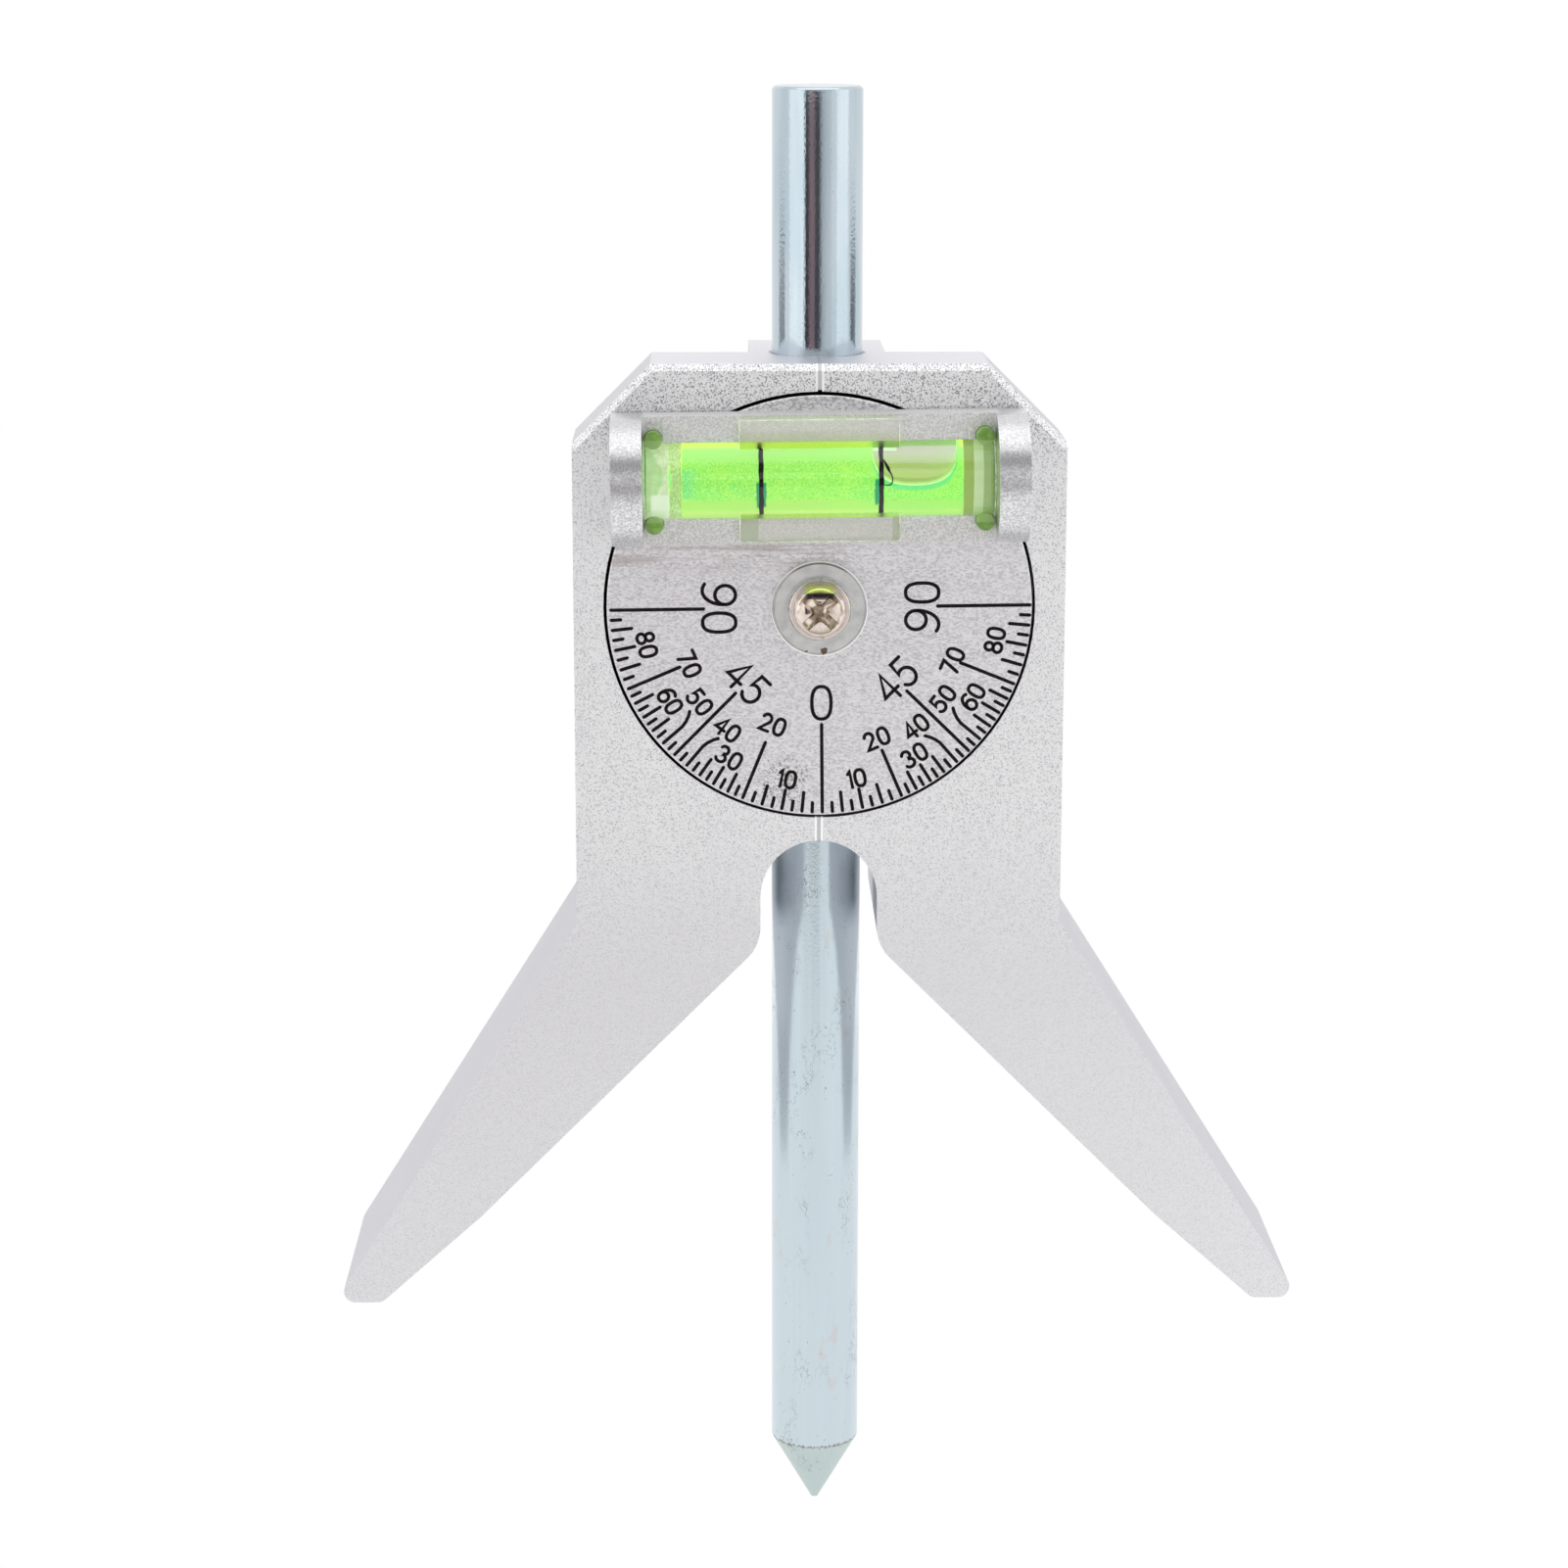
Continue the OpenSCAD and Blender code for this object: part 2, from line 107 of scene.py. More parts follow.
# Dial figures: height, stroke, and where the small ones stand, as (radius in mm, degrees)
BIG_H = 4.0 * MM
MIDDLE_H = 3.55 * MM
SMALL_H = 2.2 * MM
BIG_STROKE = 0.39 * MM
SMALL_STROKE = 0.37 * MM
ZERO_AT = 10.56 * MM
AT_45 = 11.5 * MM
AT_90 = 11.05 * MM
SMALL_FIGURES = {10: (19.45, 11.3), 30: (19.44, 31.5), 40: (16.9, 37.6), 50: (16.8, 52.3),
                 60: (19.4, 58.5), 70: (15.6, 67.1), 80: (19.35, 78.5)}
FIGURE_20 = {-1: (13.98, 22.4), 1: (15.83, 22.4)}
# Shares of a digit's height
DIGIT_W = 0.58
ONE_W = 0.14
DIGIT_GAP = 0.26

# Level holder, in millimetres: where its pocket begins along y, and half the pocket's length
POCKET_Y = -17.0
POCKET_HALF_L = 19.2

# Level vial, from the holder's axis
vial_low, vial_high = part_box("vial_block")
VIAL_X = (vial_low.x + vial_high.x) / 2
VIAL_Z = (vial_low.z + vial_high.z) / 2
VIAL_BACK = vial_high.y
VIAL_L = 37.5 * MM
FLANGE_H = 13.2 * MM
FLANGE_T = 1.8 * MM
MIDDLE_W = 17.2 * MM
MIDDLE_T = 3.9 * MM
BARREL_R = 4.25 * MM
BARREL_OUT = 1.5 * MM
CHAMBER_R = 3.2 * MM
PLUG_L = 4.2 * MM
END_WALL = 3.5 * MM
LINES_APART = 12.8 * MM
LINES_SHIFT = 0.15 * MM
LINE_HALF_W = 0.245 * MM
PIN_X = 17.7 * MM
PIN_Z = 4.57 * MM
PIN_R = 0.95 * MM
on_vial = shift(VIAL_X, VIAL_BACK, VIAL_Z) @ tilt(-DIAL_REST, "Y")

# The bubble, along the vial and down from the chamber's top, and the lens of fluid behind the plug
BUBBLE_X = 10.1 * MM
BUBBLE_HALF_L = 4.5 * MM
BUBBLE_DEEP = 3.84 * MM
BUBBLE_FLAT = 2.6
BUBBLE_ROUND = 2.9
BUBBLE_CLEAR = 0.03 * MM
MENISCUS_H = 0.22 * MM
LENS_X = -15.87 * MM
LENS_R = 1.02 * MM
LENS_T = 0.17 * MM
# The stray hair of paint beside the right line: (mm along the vial, degrees up, half width in mm)
PAINT_HAIR = ((6.78, 40, 0.05), (6.95, 34, 0.10), (7.12, 28, 0.14), (7.28, 23, 0.17),
              (7.40, 18, 0.11), (7.62, 12, 0.07), (7.74, 6, 0.06), (7.72, -1, 0.06),
              (7.55, -5, 0.06), (7.25, -6.5, 0.05), (6.98, -6, 0.04), (6.80, -4.5, 0.03))

# Punch, and the floor just below its lowest place
punch_low, punch_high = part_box("center_punch")
PUNCH_R = (punch_high.x - punch_low.x) / 2
CONE_H = 8.05 * MM
TIP_R = 0.35 * MM
SHOULDER_Z = punch_low.z + CONE_H
PUNCH_DOWN = 28 * MM
FLOOR_Z = punch_low.z - PUNCH_DOWN - 0.5 * MM

# Center screw, in millimetres down to its recess, and its washer
screw_low, screw_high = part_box("center_screw")
SCREW_SEAT_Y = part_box("split_washer")[0].y
SCREW_H = SCREW_SEAT_Y - screw_low.y
SHANK_END = SCREW_SEAT_Y - screw_high.y
CROWN_R = 2.0 * MM
DOME_R = 5.85 * MM
ROUND_R = 1.82 * MM
CROSS_ARM = 2.34 * MM
CROSS_RIM = 2.56 * MM
CROSS_HALF_W = 0.55 * MM
CROSS_VALLEY = 0.98 * MM
CROSS_DEEP = 1.08 * MM
CROSS_LIP = 1.03
# The recess's rings: (share of its outline, mm below the crown's top or below the crown there)
CROSS_FLOOR = ((0.30, 1.0), (0.60, 0.88), (0.66, 0.82), (0.86, 0.40), (0.94, 0.10))
CROSS_EDGE = ((0.975, 0.035), (1.0, 0.008), (CROSS_LIP, 0.0))
CROWN_RINGS = (2.64, 2.74, 2.85, 2.97, 3.06, 3.12, 3.16, 3.185)
SCREW_SKIRT = ((3.19, 0.16), (3.25, 0.13), (3.3, 0.07), (3.3, 0.0), (1.75, 0.0), (1.75, SHANK_END / MM))
WASHER_R = (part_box("flat_washer")[1].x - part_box("flat_washer")[0].x) / 2


def linked(name, data):
    """A new object of the scene."""
    made = bpy.data.objects.new(name, data)
    bpy.context.scene.collection.objects.link(made)
    return made


def material(name, paint, *values):
    """A new material, filled in by a function that gets its node tree and its Principled shader."""
    made = bpy.data.materials.new(name)
    made.use_nodes = True
    paint(made.node_tree, made.node_tree.nodes["Principled BSDF"], *values)
    return made


def feed(socket, value):
    """Links an output to a socket, or sets the socket's own value. A color may leave out its alpha."""
    value = value.socket if isinstance(value, Shade) else value
    if isinstance(value, bpy.types.NodeSocket):
        socket.id_data.links.new(value, socket)
    elif isinstance(value, tuple) and len(value) < len(socket.default_value):
        socket.default_value = (*value, 1)
    else:
        socket.default_value = value


def add(tree, kind, inputs=(), **settings):
    """A new node. Its inputs go in order, or by name or number, and settings are the node's own."""
    node = tree.nodes.new("ShaderNode" + kind)
    for name, value in settings.items():
        setattr(node, name, value)
    for key, value in inputs.items() if isinstance(inputs, dict) else enumerate(inputs):
        feed(node.inputs[key], value)
    return node


class Shade:
    """A number or color that nodes give. Arithmetic on it adds the nodes that work it out."""

    def __init__(self, socket):
        self.socket = socket

    def math(self, operation, *others):
        return Shade(add(self.socket.id_data, "Math", (self, *others), operation=operation).outputs[0])

    def __add__(self, other):
        return self.math("ADD", other)

    def __sub__(self, other):
        return self.math("SUBTRACT", other)

    def __rsub__(self, other):
        return Shade(add(self.socket.id_data, "Math", (other, self), operation="SUBTRACT").outputs[0])

    def __mul__(self, other):
        return self.math("MULTIPLY", other)

    def __abs__(self):
        return self.math("ABSOLUTE")

    def ramp(self, low, high, to_low=0.0, to_high=1.0):
        """Maps low..high smoothly to to_low..to_high, and holds outside."""
        return Shade(add(self.socket.id_data, "MapRange", (self, low, high, to_low, to_high),
                         interpolation_type="SMOOTHSTEP").outputs[0])

    def window(self, low, high, soft):
        """1 between low and high, and 0 from soft outside them."""
        return self.ramp(low - soft, low) * self.ramp(high + soft, high)

    def blend(self, low, high, a, b):
        """The color a up to low and b from high."""
        return mix_color(self.ramp(low, high), a, b)

    def paint(self, *layers):
        """This color with others over it, one after another: a share, its color, and so on."""
        made = self
        for share, color in zip(layers[::2], layers[1::2]):
            made = mix_color(share, made, color)
        return made


def mix_color(share, a, b):
    """The color a where share is 0 and b where it is 1."""
    return Shade(add(share.socket.id_data, "Mix", {0: share, 6: a, 7: b}, data_type="RGBA").outputs[2])


def xyz(vector):
    """The three parts of a vector."""
    return [Shade(part) for part in add(vector.id_data, "SeparateXYZ", (vector,)).outputs]


def axes(tree):
    """The object's own x, y and z in millimetres."""
    where = add(tree, "TexCoord").outputs["Object"]
    return xyz(add(tree, "Mapping", {"Vector": where, "Scale": (1 / MM, 1 / MM, 1 / MM)}).outputs[0])


def noise(tree, scale, detail=2.0, roughness=0.5, offset=(0, 0, 0)):
    """Noise in the object's own coordinates. Its scale is one number, or one for each axis."""
    stretch, scale = (scale, 1.0) if isinstance(scale, tuple) else ((1, 1, 1), scale)
    here = add(tree, "Mapping", {"Vector": add(tree, "TexCoord").outputs["Object"],
                                 "Location": offset, "Scale": stretch}).outputs[0]
    return Shade(add(tree, "TexNoise", {"Vector": here, "Scale": scale, "Detail": detail,
                                        "Roughness": roughness}).outputs["Fac"])


def from_pivot(tree, right=0.0, up=0.0):
    """The distance, seen along y, from a point that many millimetres right and up of the pivot."""
    x, _, z = axes(tree)
    dx, dz = x - (PIVOT.x / MM + right), z - (PIVOT.z / MM + up)
    return (dx * dx + dz * dz).math("SQRT")


def finish(shader, color, rough, height=None, depth=0, strength=0, **others):
    """Sets the color, the roughness, a bump depth millimetres deep, and others by name, _ for spaces."""
    others.update(Base_Color=color, Roughness=rough)
    if height:
        others["Normal"] = add(height.socket.id_data, "Bump", {"Height": height, "Distance": depth * MM,
                                                               "Strength": strength}).outputs["Normal"]
    for name, value in others.items():
        feed(shader.inputs[name.replace("_", " ")], value)


def mix_shader(share, first, second):
    """The first shader where share is 0 and the second where it is 1."""
    return add(first.id_data, "MixShader", (share, first, second)).outputs[0]


def surface(output):
    feed(output.id_data.nodes["Material Output"].inputs["Surface"], output)


def ray_is(tree, *kinds):
    """1 for a ray of any of the kinds."""
    path = add(tree, "LightPath").outputs
    total = Shade(path[f"Is {kinds[0]} Ray"])
    for kind in kinds[1:]:
        total = total.math("MAXIMUM", path[f"Is {kind} Ray"])
    return total


def blasted_aluminium(tree, shader):
    """Bead blasted and clear anodised: sparkling grain, painted black shade in the gap round the dial, and
    zero mark lips painted bright with a glow as a highlight.
    """
    grain = noise(tree, 6600, 2, 0.7)
    light = grain.ramp(0.365, 0.50)
    x, y, z = axes(tree)
    across, _, upward = xyz(add(tree, "NewGeometry").outputs["True Normal"])
    top_face = upward.ramp(0.90, 0.97)
    # Above the level the grain is painted much darker, as shade, and towards the feet it fades
    calm = z.ramp(14, -14)
    # The zero marks: a groove between two lips. The groove is painted darker as shade; the lips are polished,
    # and painted white with a glow as a highlight.
    sideways = abs(x)
    inward = y - FRONT_Y / MM
    groove = inward.ramp(0.03, 0.08) * sideways.ramp(MARK_LIP[0], MARK_LIP[0] - 0.04)
    lip_highlight = sideways.window(*MARK_LIP, 0.03) * inward.ramp(0.9, 0.5)
    # The gap round the dial, painted black as shade, stands a little off the dial's center
    gap = (from_pivot(tree, -0.1, 0.1).ramp(RECESS_R + 0.06, RECESS_R + 0.02)
           * inward.window(0.12, RECESS_DEEP + 0.02, 0.05))
    base = mix_color(light, (0.60, 0.595, 0.62), WHITE).paint(
        # painted shade above the level
        z.ramp(47, 53), mix_color(light, (0.20, 0.195, 0.215), WHITE),
        calm * 0.75, (0.86, 0.855, 0.875),
        # faces turned sideways take painted shade
        abs(across).ramp(0.55, 0.75), (0.64, 0.635, 0.67),
        top_face * 0.9, (0.80, 0.79, 0.83),
        noise(tree, 70).ramp(0.3, 0.7, 0.0, 0.12), (0.82, 0.81, 0.84),
        groove, (0.70, 0.70, 0.71),
        lip_highlight, WHITE,
        gap, PAINTED_GAP_SHADE_BLACK)
    tall = grain * (1.0 - lip_highlight) * calm.ramp(0, 1, 1.0, 0.5) * top_face.ramp(0, 1, 1.0, 0.1)
    finish(shader, base, grain.ramp(0.3, 0.7, 0.56, 0.40) - lip_highlight * 0.12, tall, 0.075, 1.0,
           Metallic=1, Emission_Color=WHITE, Emission_Strength=lip_highlight * 0.30)


def dial_aluminium(tree, shader):
    """Satin with faint lines along the dial's width, a painted brownish shadow of the level in streaks under
    it, painted shade above it, and a dirty patch.
    """
    grain = noise(tree, (2800, 3000, 5200), 3, 0.7)
    light = grain.ramp(0.38, 0.57)
    lines = noise(tree, (35, 35, 3000), 4, 0.6)
    streaks = noise(tree, (60, 60, 1700), 3, 0.7, (3, 0, 1))
    specks = noise(tree, 3400, 3, 0.7, (2, 1, 0))
    x, y, z = axes(tree)
    # Painted shadow of the level holder in brownish streaks under it, and painted shade above it
    painted_holder_shadow = z.window(36.7, 38.1, 1.3) * x.ramp(9, -2)
    painted_shade_above_vial = z.ramp(48.5, 50)
    from_dirt = from_pivot(tree, -3.8, -19.2)
    dirt = (specks - from_dirt.ramp(3.4, 0.3, 0.585, 0.505)).ramp(0.0, 0.05, 0.0, 0.6)
    # The dial's edge in the gap is painted black as shade
    side = (y - PIVOT.y / MM).ramp(0.10, 0.16) * (from_pivot(tree) - DIAL_R / MM).ramp(-0.2, -0.1)
    base = mix_color(light, (0.66, 0.65, 0.67), (1.0, 0.985, 1.0)).paint(
        lines.ramp(0.35, 0.65, 0.0, 0.42), (0.84, 0.825, 0.84),
        painted_holder_shadow * streaks.ramp(0.46, 0.62, 0, 0.6), (0.50, 0.44, 0.40),
        painted_shade_above_vial * 0.85, mix_color(light, (0.40, 0.40, 0.41), (0.84, 0.845, 0.845)),
        dirt * from_dirt.ramp(3.8, 2.6), (0.12, 0.11, 0.11),
        side, PAINTED_GAP_SHADE_BLACK)
    finish(shader, base, lines.ramp(0.3, 0.7, 0.48, 0.58), grain + lines * 0.8, 0.028, 0.75, Metallic=1)


def holder_aluminium(tree, shader):
    """Satin bar with turned half-round cheeks and a rougher blasted pocket, where the fluid's glow and other
    light and shade are painted.
    """
    grain = noise(tree, 4200, 3, 0.75)
    fine = noise(tree, 5600, 3, 0.75)
    x, y, z = axes(tree)
    up = z - VIAL_Z / MM
    pocket = y.ramp(POCKET_Y - 0.3, POCKET_Y) * abs(x).ramp(POCKET_HALF_L, POCKET_HALF_L - 0.3)
    behind_middle = x.window(-8.6, 8.6, 0.3) * abs(up).ramp(6.9, 6.7)
    painted_cheek_shade = up.ramp(2.5, 5.5) * y.ramp(POCKET_Y, POCKET_Y - 0.4)
    painted_glow_above = up.ramp(5.7, 3.3) * up.ramp(0.0, 1.0) * behind_middle
    corners = x.window(-8.5, -6.7, 0.15) + x.window(7.7, 8.5, 0.15)
    painted_glow_below = corners * up.window(-6.3, -4.0, 0.2)
    # Painted light and shade: the pocket lighter, a pink tint against the fluid's green light behind the
    # middle, shade on the cheeks' tops, and the fluid's green glow above and below the barrel
    base = grain.blend(0.38, 0.62, (0.56, 0.56, 0.575), (0.92, 0.92, 0.93)).paint(
        pocket, fine.blend(0.36, 0.64, (0.66, 0.655, 0.65), (0.99, 0.985, 0.975)),
        behind_middle * pocket * 0.5, (1.0, 0.90, 0.97),
        painted_cheek_shade * 0.5, (0.62, 0.615, 0.62),
        painted_glow_above * pocket * 0.70, (0.66, 0.74, 0.36),
        painted_glow_below * pocket * 0.75, (0.66, 0.70, 0.55))
    finish(shader, base, grain.ramp(0.3, 0.7, 0.42, 0.28) + pocket * 0.18, grain, 0.028, 0.8, Metallic=1)


def zinc_steel(tree, shader):
    """Pale blue zinc plating over drawn bar: fine lines along it, pits, curly scratches and brown traces."""
    drawn = noise(tree, (2600, 2600, 18), 3, 0.6)
    tint = noise(tree, (420, 420, 60))
    pits = noise(tree, (2400, 2400, 1500), 3, 0.7)
    curl = noise(tree, (800, 800, 420), 4, 0.7, (4, 2, 7))
    where_curl = noise(tree, (230, 230, 110), 2, 0.5, (9, 3, 1))
    blotch = noise(tree, (260, 260, 120), 3, 0.6, (1, 5, 2))
    ripple = noise(tree, (3600, 3600, 2800), 3, 0.5, (2, 2, 5))
    x, _, z = axes(tree)
    # The part below the head is paler and more worn than the part above it
    worn = z.ramp(15, -2)
    from_shoulder = z - SHOULDER_Z / MM
    cone = from_shoulder.ramp(0.1, -0.1)
    # Painted reflection: the bar is lighter at its sides between the head's legs
    painted_flank_reflection = abs(x).ramp(2.4, 4.2) * z.window(-14, 6, 8)
    hair = abs(curl - 0.5).ramp(0.012, 0.004) * where_curl.ramp(0.52, 0.62) * worn * 0.6
    seam = (from_shoulder + (ripple - 0.5) * 1.1).window(-0.07, 0.07, 0.08)
    base = tint.blend(0.35, 0.65, (0.48, 0.575, 0.635), (0.56, 0.64, 0.69)).paint(
        drawn.ramp(0.40, 0.62, 0.0, 0.2), (0.50, 0.56, 0.58),
        worn * 0.8, (0.64, 0.74, 0.79),
        cone, (0.56, 0.66, 0.65),
        painted_flank_reflection * 0.6, (0.84, 0.93, 0.96),
        worn * blotch.ramp(0.60, 0.70, 0, 0.5), (0.66, 0.56, 0.54),
        worn.ramp(0, 1, 0.25, 0.75) * pits.ramp(0.67, 0.71), (0.20, 0.20, 0.19),
        hair, (0.25, 0.26, 0.25),
        seam * 0.75, (0.20, 0.15, 0.14))
    finish(shader, base, drawn.ramp(0.3, 0.7, 0.07, 0.13) + worn * 0.10 + cone * 0.14,
           drawn * 0.35 + ripple * 0.6 - hair * 0.5, 0.02, 1.0, Metallic=1)


def plated(tree, shader, dark, light, low, high):
    """A plated metal whose color varies from dark to light and whose roughness from low to high."""
    mottle = noise(tree, 2200, 3, 0.6)
    finish(shader, mottle.blend(0.35, 0.65, dark, light), mottle.ramp(0.3, 0.7, low, high),
           mottle, 0.005, 0.25, Metallic=1)


def nickel(tree, shader):
    """Warm nickel plate, duller deep in the cross, where its brownish facets take painted light and shade,
    with a painted green reflection of the fluid and a painted dark reflection band on its upper part.
    """
    mottle = noise(tree, 1800, 3, 0.6)
    facet_light_and_shade = noise(tree, 700)
    x, y, z = axes(tree)
    up = z - PIVOT.z / MM
    wide = abs(x).ramp(1.9, 1.3)
    deep = (y - screw_low.y / MM).ramp(0.25, 0.6) * from_pivot(tree).ramp(2.5, 2.4)
    base = mottle.blend(0.35, 0.65, (0.68, 0.59, 0.53), (0.80, 0.70, 0.63)).paint(
        # painted light and shade on the cross's facets, the fluid's painted green reflection, and a painted
        # dark reflection band
        deep, facet_light_and_shade.blend(0.44, 0.56, (0.36, 0.29, 0.22), (0.92, 0.82, 0.72)),
        up.window(2.15, 2.75, 0.2) * wide * 0.75, (0.62, 0.72, 0.10),
        up.window(1.50, 2.0, 0.14) * wide * 0.88, (0.05, 0.04, 0.03))
    finish(shader, base, mottle.ramp(0.3, 0.7, 0.08, 0.15) + deep * 0.2, mottle, 0.005, 0.3, Metallic=1)


def zinc_washer(tree, shader):
    """Satin zinc with a polished rim painted white as a highlight, painted shade along its upper edge, a rust
    speck near its lower edge and a little dirt.
    """
    mottle = noise(tree, 900, 4, 0.6)
    inward = WASHER_R / MM - from_pivot(tree)
    # The polished rim: smoother, and painted white as a highlight
    rim = inward.ramp(0.22, 0.14)
    up = axes(tree)[2] - PIVOT.z / MM
    # Painted shade along the washer's upper edge
    shade = up.ramp(3.6, 4.6) * inward.ramp(0.42, 0.30) * inward.ramp(0.12, 0.20)
    base = mottle.blend(0.35, 0.65, (0.80, 0.81, 0.795), (0.88, 0.89, 0.87)).paint(
        noise(tree, 4200).ramp(0.70, 0.76, 0.0, 0.5), (0.28, 0.27, 0.25),
        inward.window(0.27, 0.34, 0.05) * 0.55, (0.36, 0.38, 0.34),
        rim, (1.0, 1.0, 0.98),
        shade * 0.8, (0.16, 0.18, 0.10))
    ragged = (noise(tree, 2600) - 0.5) * 0.7
    for right, high, radius in ((0.45, -4.62, 0.42), (-1.45, -4.68, 0.12)):
        edge = from_pivot(tree, right, high) + ragged
        base = base.paint(edge.ramp(radius, radius * 0.75, 0, 0.9), (0.16, 0.07, 0.04))
    finish(shader, base, mottle.ramp(0.3, 0.7, 0.34, 0.42) - rim * 0.22, mottle, 0.005, 0.3, Metallic=1)


def black_enamel(tree, shader):
    """Matt infill with a slightly uneven, brownish black."""
    mottle = noise(tree, 2600, 3, 0.7)
    base = mottle.blend(0.4, 0.75, (0.004, 0.003, 0.003), (0.022, 0.014, 0.016))
    finish(shader, base, 0.6, mottle, 0.01, 0.3, Specular_IOR_Level=0.12)


def clear_acrylic(tree, shader):
    """Polished clear acrylic, very slightly green and uneven. Light from lamps passes it without bending."""
    ripple = noise(tree, 160)
    finish(shader, mix_color(ripple, (0.98, 0.99, 0.97), (1.0, 1.0, 0.99)), 0.01, ripple, 0.01, 0.3,
           Transmission_Weight=1, IOR=1.49, Specular_IOR_Level=0.3)
    clear = add(tree, "BsdfTransparent", {"Color": (0.97, 0.98, 0.96)}).outputs[0]
    surface(mix_shader(ray_is(tree, "Shadow", "Diffuse"), shader.outputs[0], clear))


def cloudy(shader, color, clear_color, clear_share, glow):
    """A cloudy fill: light scatters in it in its color, a share of the view passes straight through, and it
    has a painted glow of its own.
    """
    tree = shader.id_data
    tree.nodes.remove(shader)
    lit = add(tree, "BsdfDiffuse", {"Color": color}).outputs[0]
    through = add(tree, "BsdfTranslucent", {"Color": color}).outputs[0]
    painted_shine = add(tree, "Emission", {"Color": color, "Strength": glow}).outputs[0]
    body = add(tree, "AddShader", (mix_shader(0.4, lit, through), painted_shine)).outputs[0]
    clear = add(tree, "BsdfTransparent", {"Color": clear_color}).outputs[0]
    surface(mix_shader(clear_share, body, clear))


def along_vial(tree):
    """Millimetres along the vial from its middle, and degrees around its barrel: 0 to the front, 90 up."""
    x, y, z = axes(tree)
    turn = (z - VIAL_Z / MM).math("ARCTAN2", (VIAL_BACK - BARREL_OUT) / MM - y) * math.degrees(1)
    return x - VIAL_X / MM, turn


def above_level(tree):
    """Millimetres from the fluid's surface up to a point, and 1 where the bubble touches that surface."""
    x, _, z = axes(tree)
    share = abs(x - (VIAL_X + BUBBLE_X) / MM).math("DIVIDE", BUBBLE_HALF_L / MM)
    left = (1.0 - share.math("POWER", BUBBLE_FLAT)).math("MAXIMUM", 0)
    deep = left.math("POWER", 1 / BUBBLE_ROUND) * (BUBBLE_DEEP / MM)
    return z - ((VIAL_Z + CHAMBER_R) / MM - deep), share.ramp(1.06, 1.0)


def green_fluid(tree, shader):
    """Fluorescent level fluid: lime where light enters it, with bright grains, and metal shows through it."""
    x, turn = along_vial(tree)
    ragged = (noise(tree, 700, 3, 0.6) - 0.5) * 16
    edge = turn + ragged
    swirl = noise(tree, 260, 4, 0.6)
    dots = noise(tree, 2600, 3, 0.7)
    grain = noise(tree, 5200, 2, 0.6)
    where_grain = turn.window(-30, 36, 10)
    mint = (edge.window(-28, 0, 10) * dots.ramp(0.58, 0.42, 0, 0.38)
            * x.ramp(9.5, 5.0, 0.45, 1.0) * x.ramp(-4.0, -8.0, 0.45, 1.0))
    far_left = x.ramp(-12.6, -14.2) * edge.window(-28, 20, 8)
    # Teal patches behind the two lines: their middle, from and to degrees, and half width
    patches = []
    apart = LINES_APART / 2 / MM
    for at, low, high, half in ((-apart, -48, -4, 0.60), (apart - 0.32, -40, 4, 0.44)):
        near = abs(x - (at + LINES_SHIFT / MM)) + ragged * 0.03
        patches.append(near.ramp(half, half * 0.75) * edge.window(low, high, 5))
    teal = patches[0].math("MAXIMUM", patches[1])
    rim, on_bubble = above_level(tree)
    # Painted light and shade from the barrel's curve: bands by the angle around it, lighter upward, yellow at
    # the top and yellow-green low down, a painted teal shade along the bubble's edge, and a stronger painted
    # glow at the top
    color = swirl.blend(0.38, 0.64, (0.42, 0.94, 0.20), (0.49, 0.97, 0.18)).paint(
        turn.ramp(20, 46), (0.48, 0.96, 0.25),
        turn.ramp(42, 56), (0.54, 0.98, 0.32),
        turn.ramp(66, 74), (0.82, 1.0, 0.22),
        mint, (0.22, 0.84, 0.30),
        far_left * 0.75, (0.22, 0.80, 0.42),
        edge.ramp(-28, -38), (0.55, 0.88, 0.24),
        turn.ramp(-52, -66), (0.76, 0.94, 0.34),
        grain.ramp(0.54, 0.62) * where_grain * 0.75, (0.68, 1.0, 0.30),
        grain.ramp(0.46, 0.38) * where_grain * 0.35, (0.14, 0.62, 0.10),
        teal * 0.92, (0.0, 0.30, 0.18),
        rim.window(-0.10, 0.5, 0.10) * on_bubble * 0.7, (0.12, 0.78, 0.40))
    cloudy(shader, color, (0.66, 1.0, 0.42), teal.ramp(0, 1, 0.22, 0.03), turn.ramp(62, 74, 0.30, 0.65))


def vial_core(tree, shader):
    """The ends of the barrel: painted pale green and olive facets, of the fluid's light as it gathers in
    them.
    """
    x, turn = along_vial(tree)
    from_left, from_right = x + VIAL_L / 2 / MM, VIAL_L / 2 / MM - x
    mottle = noise(tree, 1500, 3, 0.7)
    ragged = (noise(tree, 600, 3) - 0.5) * 0.9
    cone = from_left + abs(turn - 8) * 0.026 + ragged
    wedge = turn.ramp(-20, -26) * from_left.ramp(0.7, 1.0) * x.ramp(0.0, -1)
    color = mottle.blend(0.4, 0.6, (0.60, 0.68, 0.46), (0.74, 0.80, 0.62)).paint(
        cone.ramp(2.36, 2.28),
        mottle.blend(0.35, 0.65, (0.48, 0.66, 0.36), (0.56, 0.74, 0.44)),
        wedge, (0.80, 0.84, 0.76),
        from_left.ramp(0.34, 0.28), (0.12, 0.30, 0.05),
        x.ramp(0, 1), (0.36, 0.48, 0.12),
        from_right.ramp(2.42, 2.36), (0.66, 0.78, 0.50),
        from_right.ramp(1.42, 1.30), (0.38, 0.50, 0.24))
    cloudy(shader, color, (0.88, 1.0, 0.78), 0.20, 0.35)


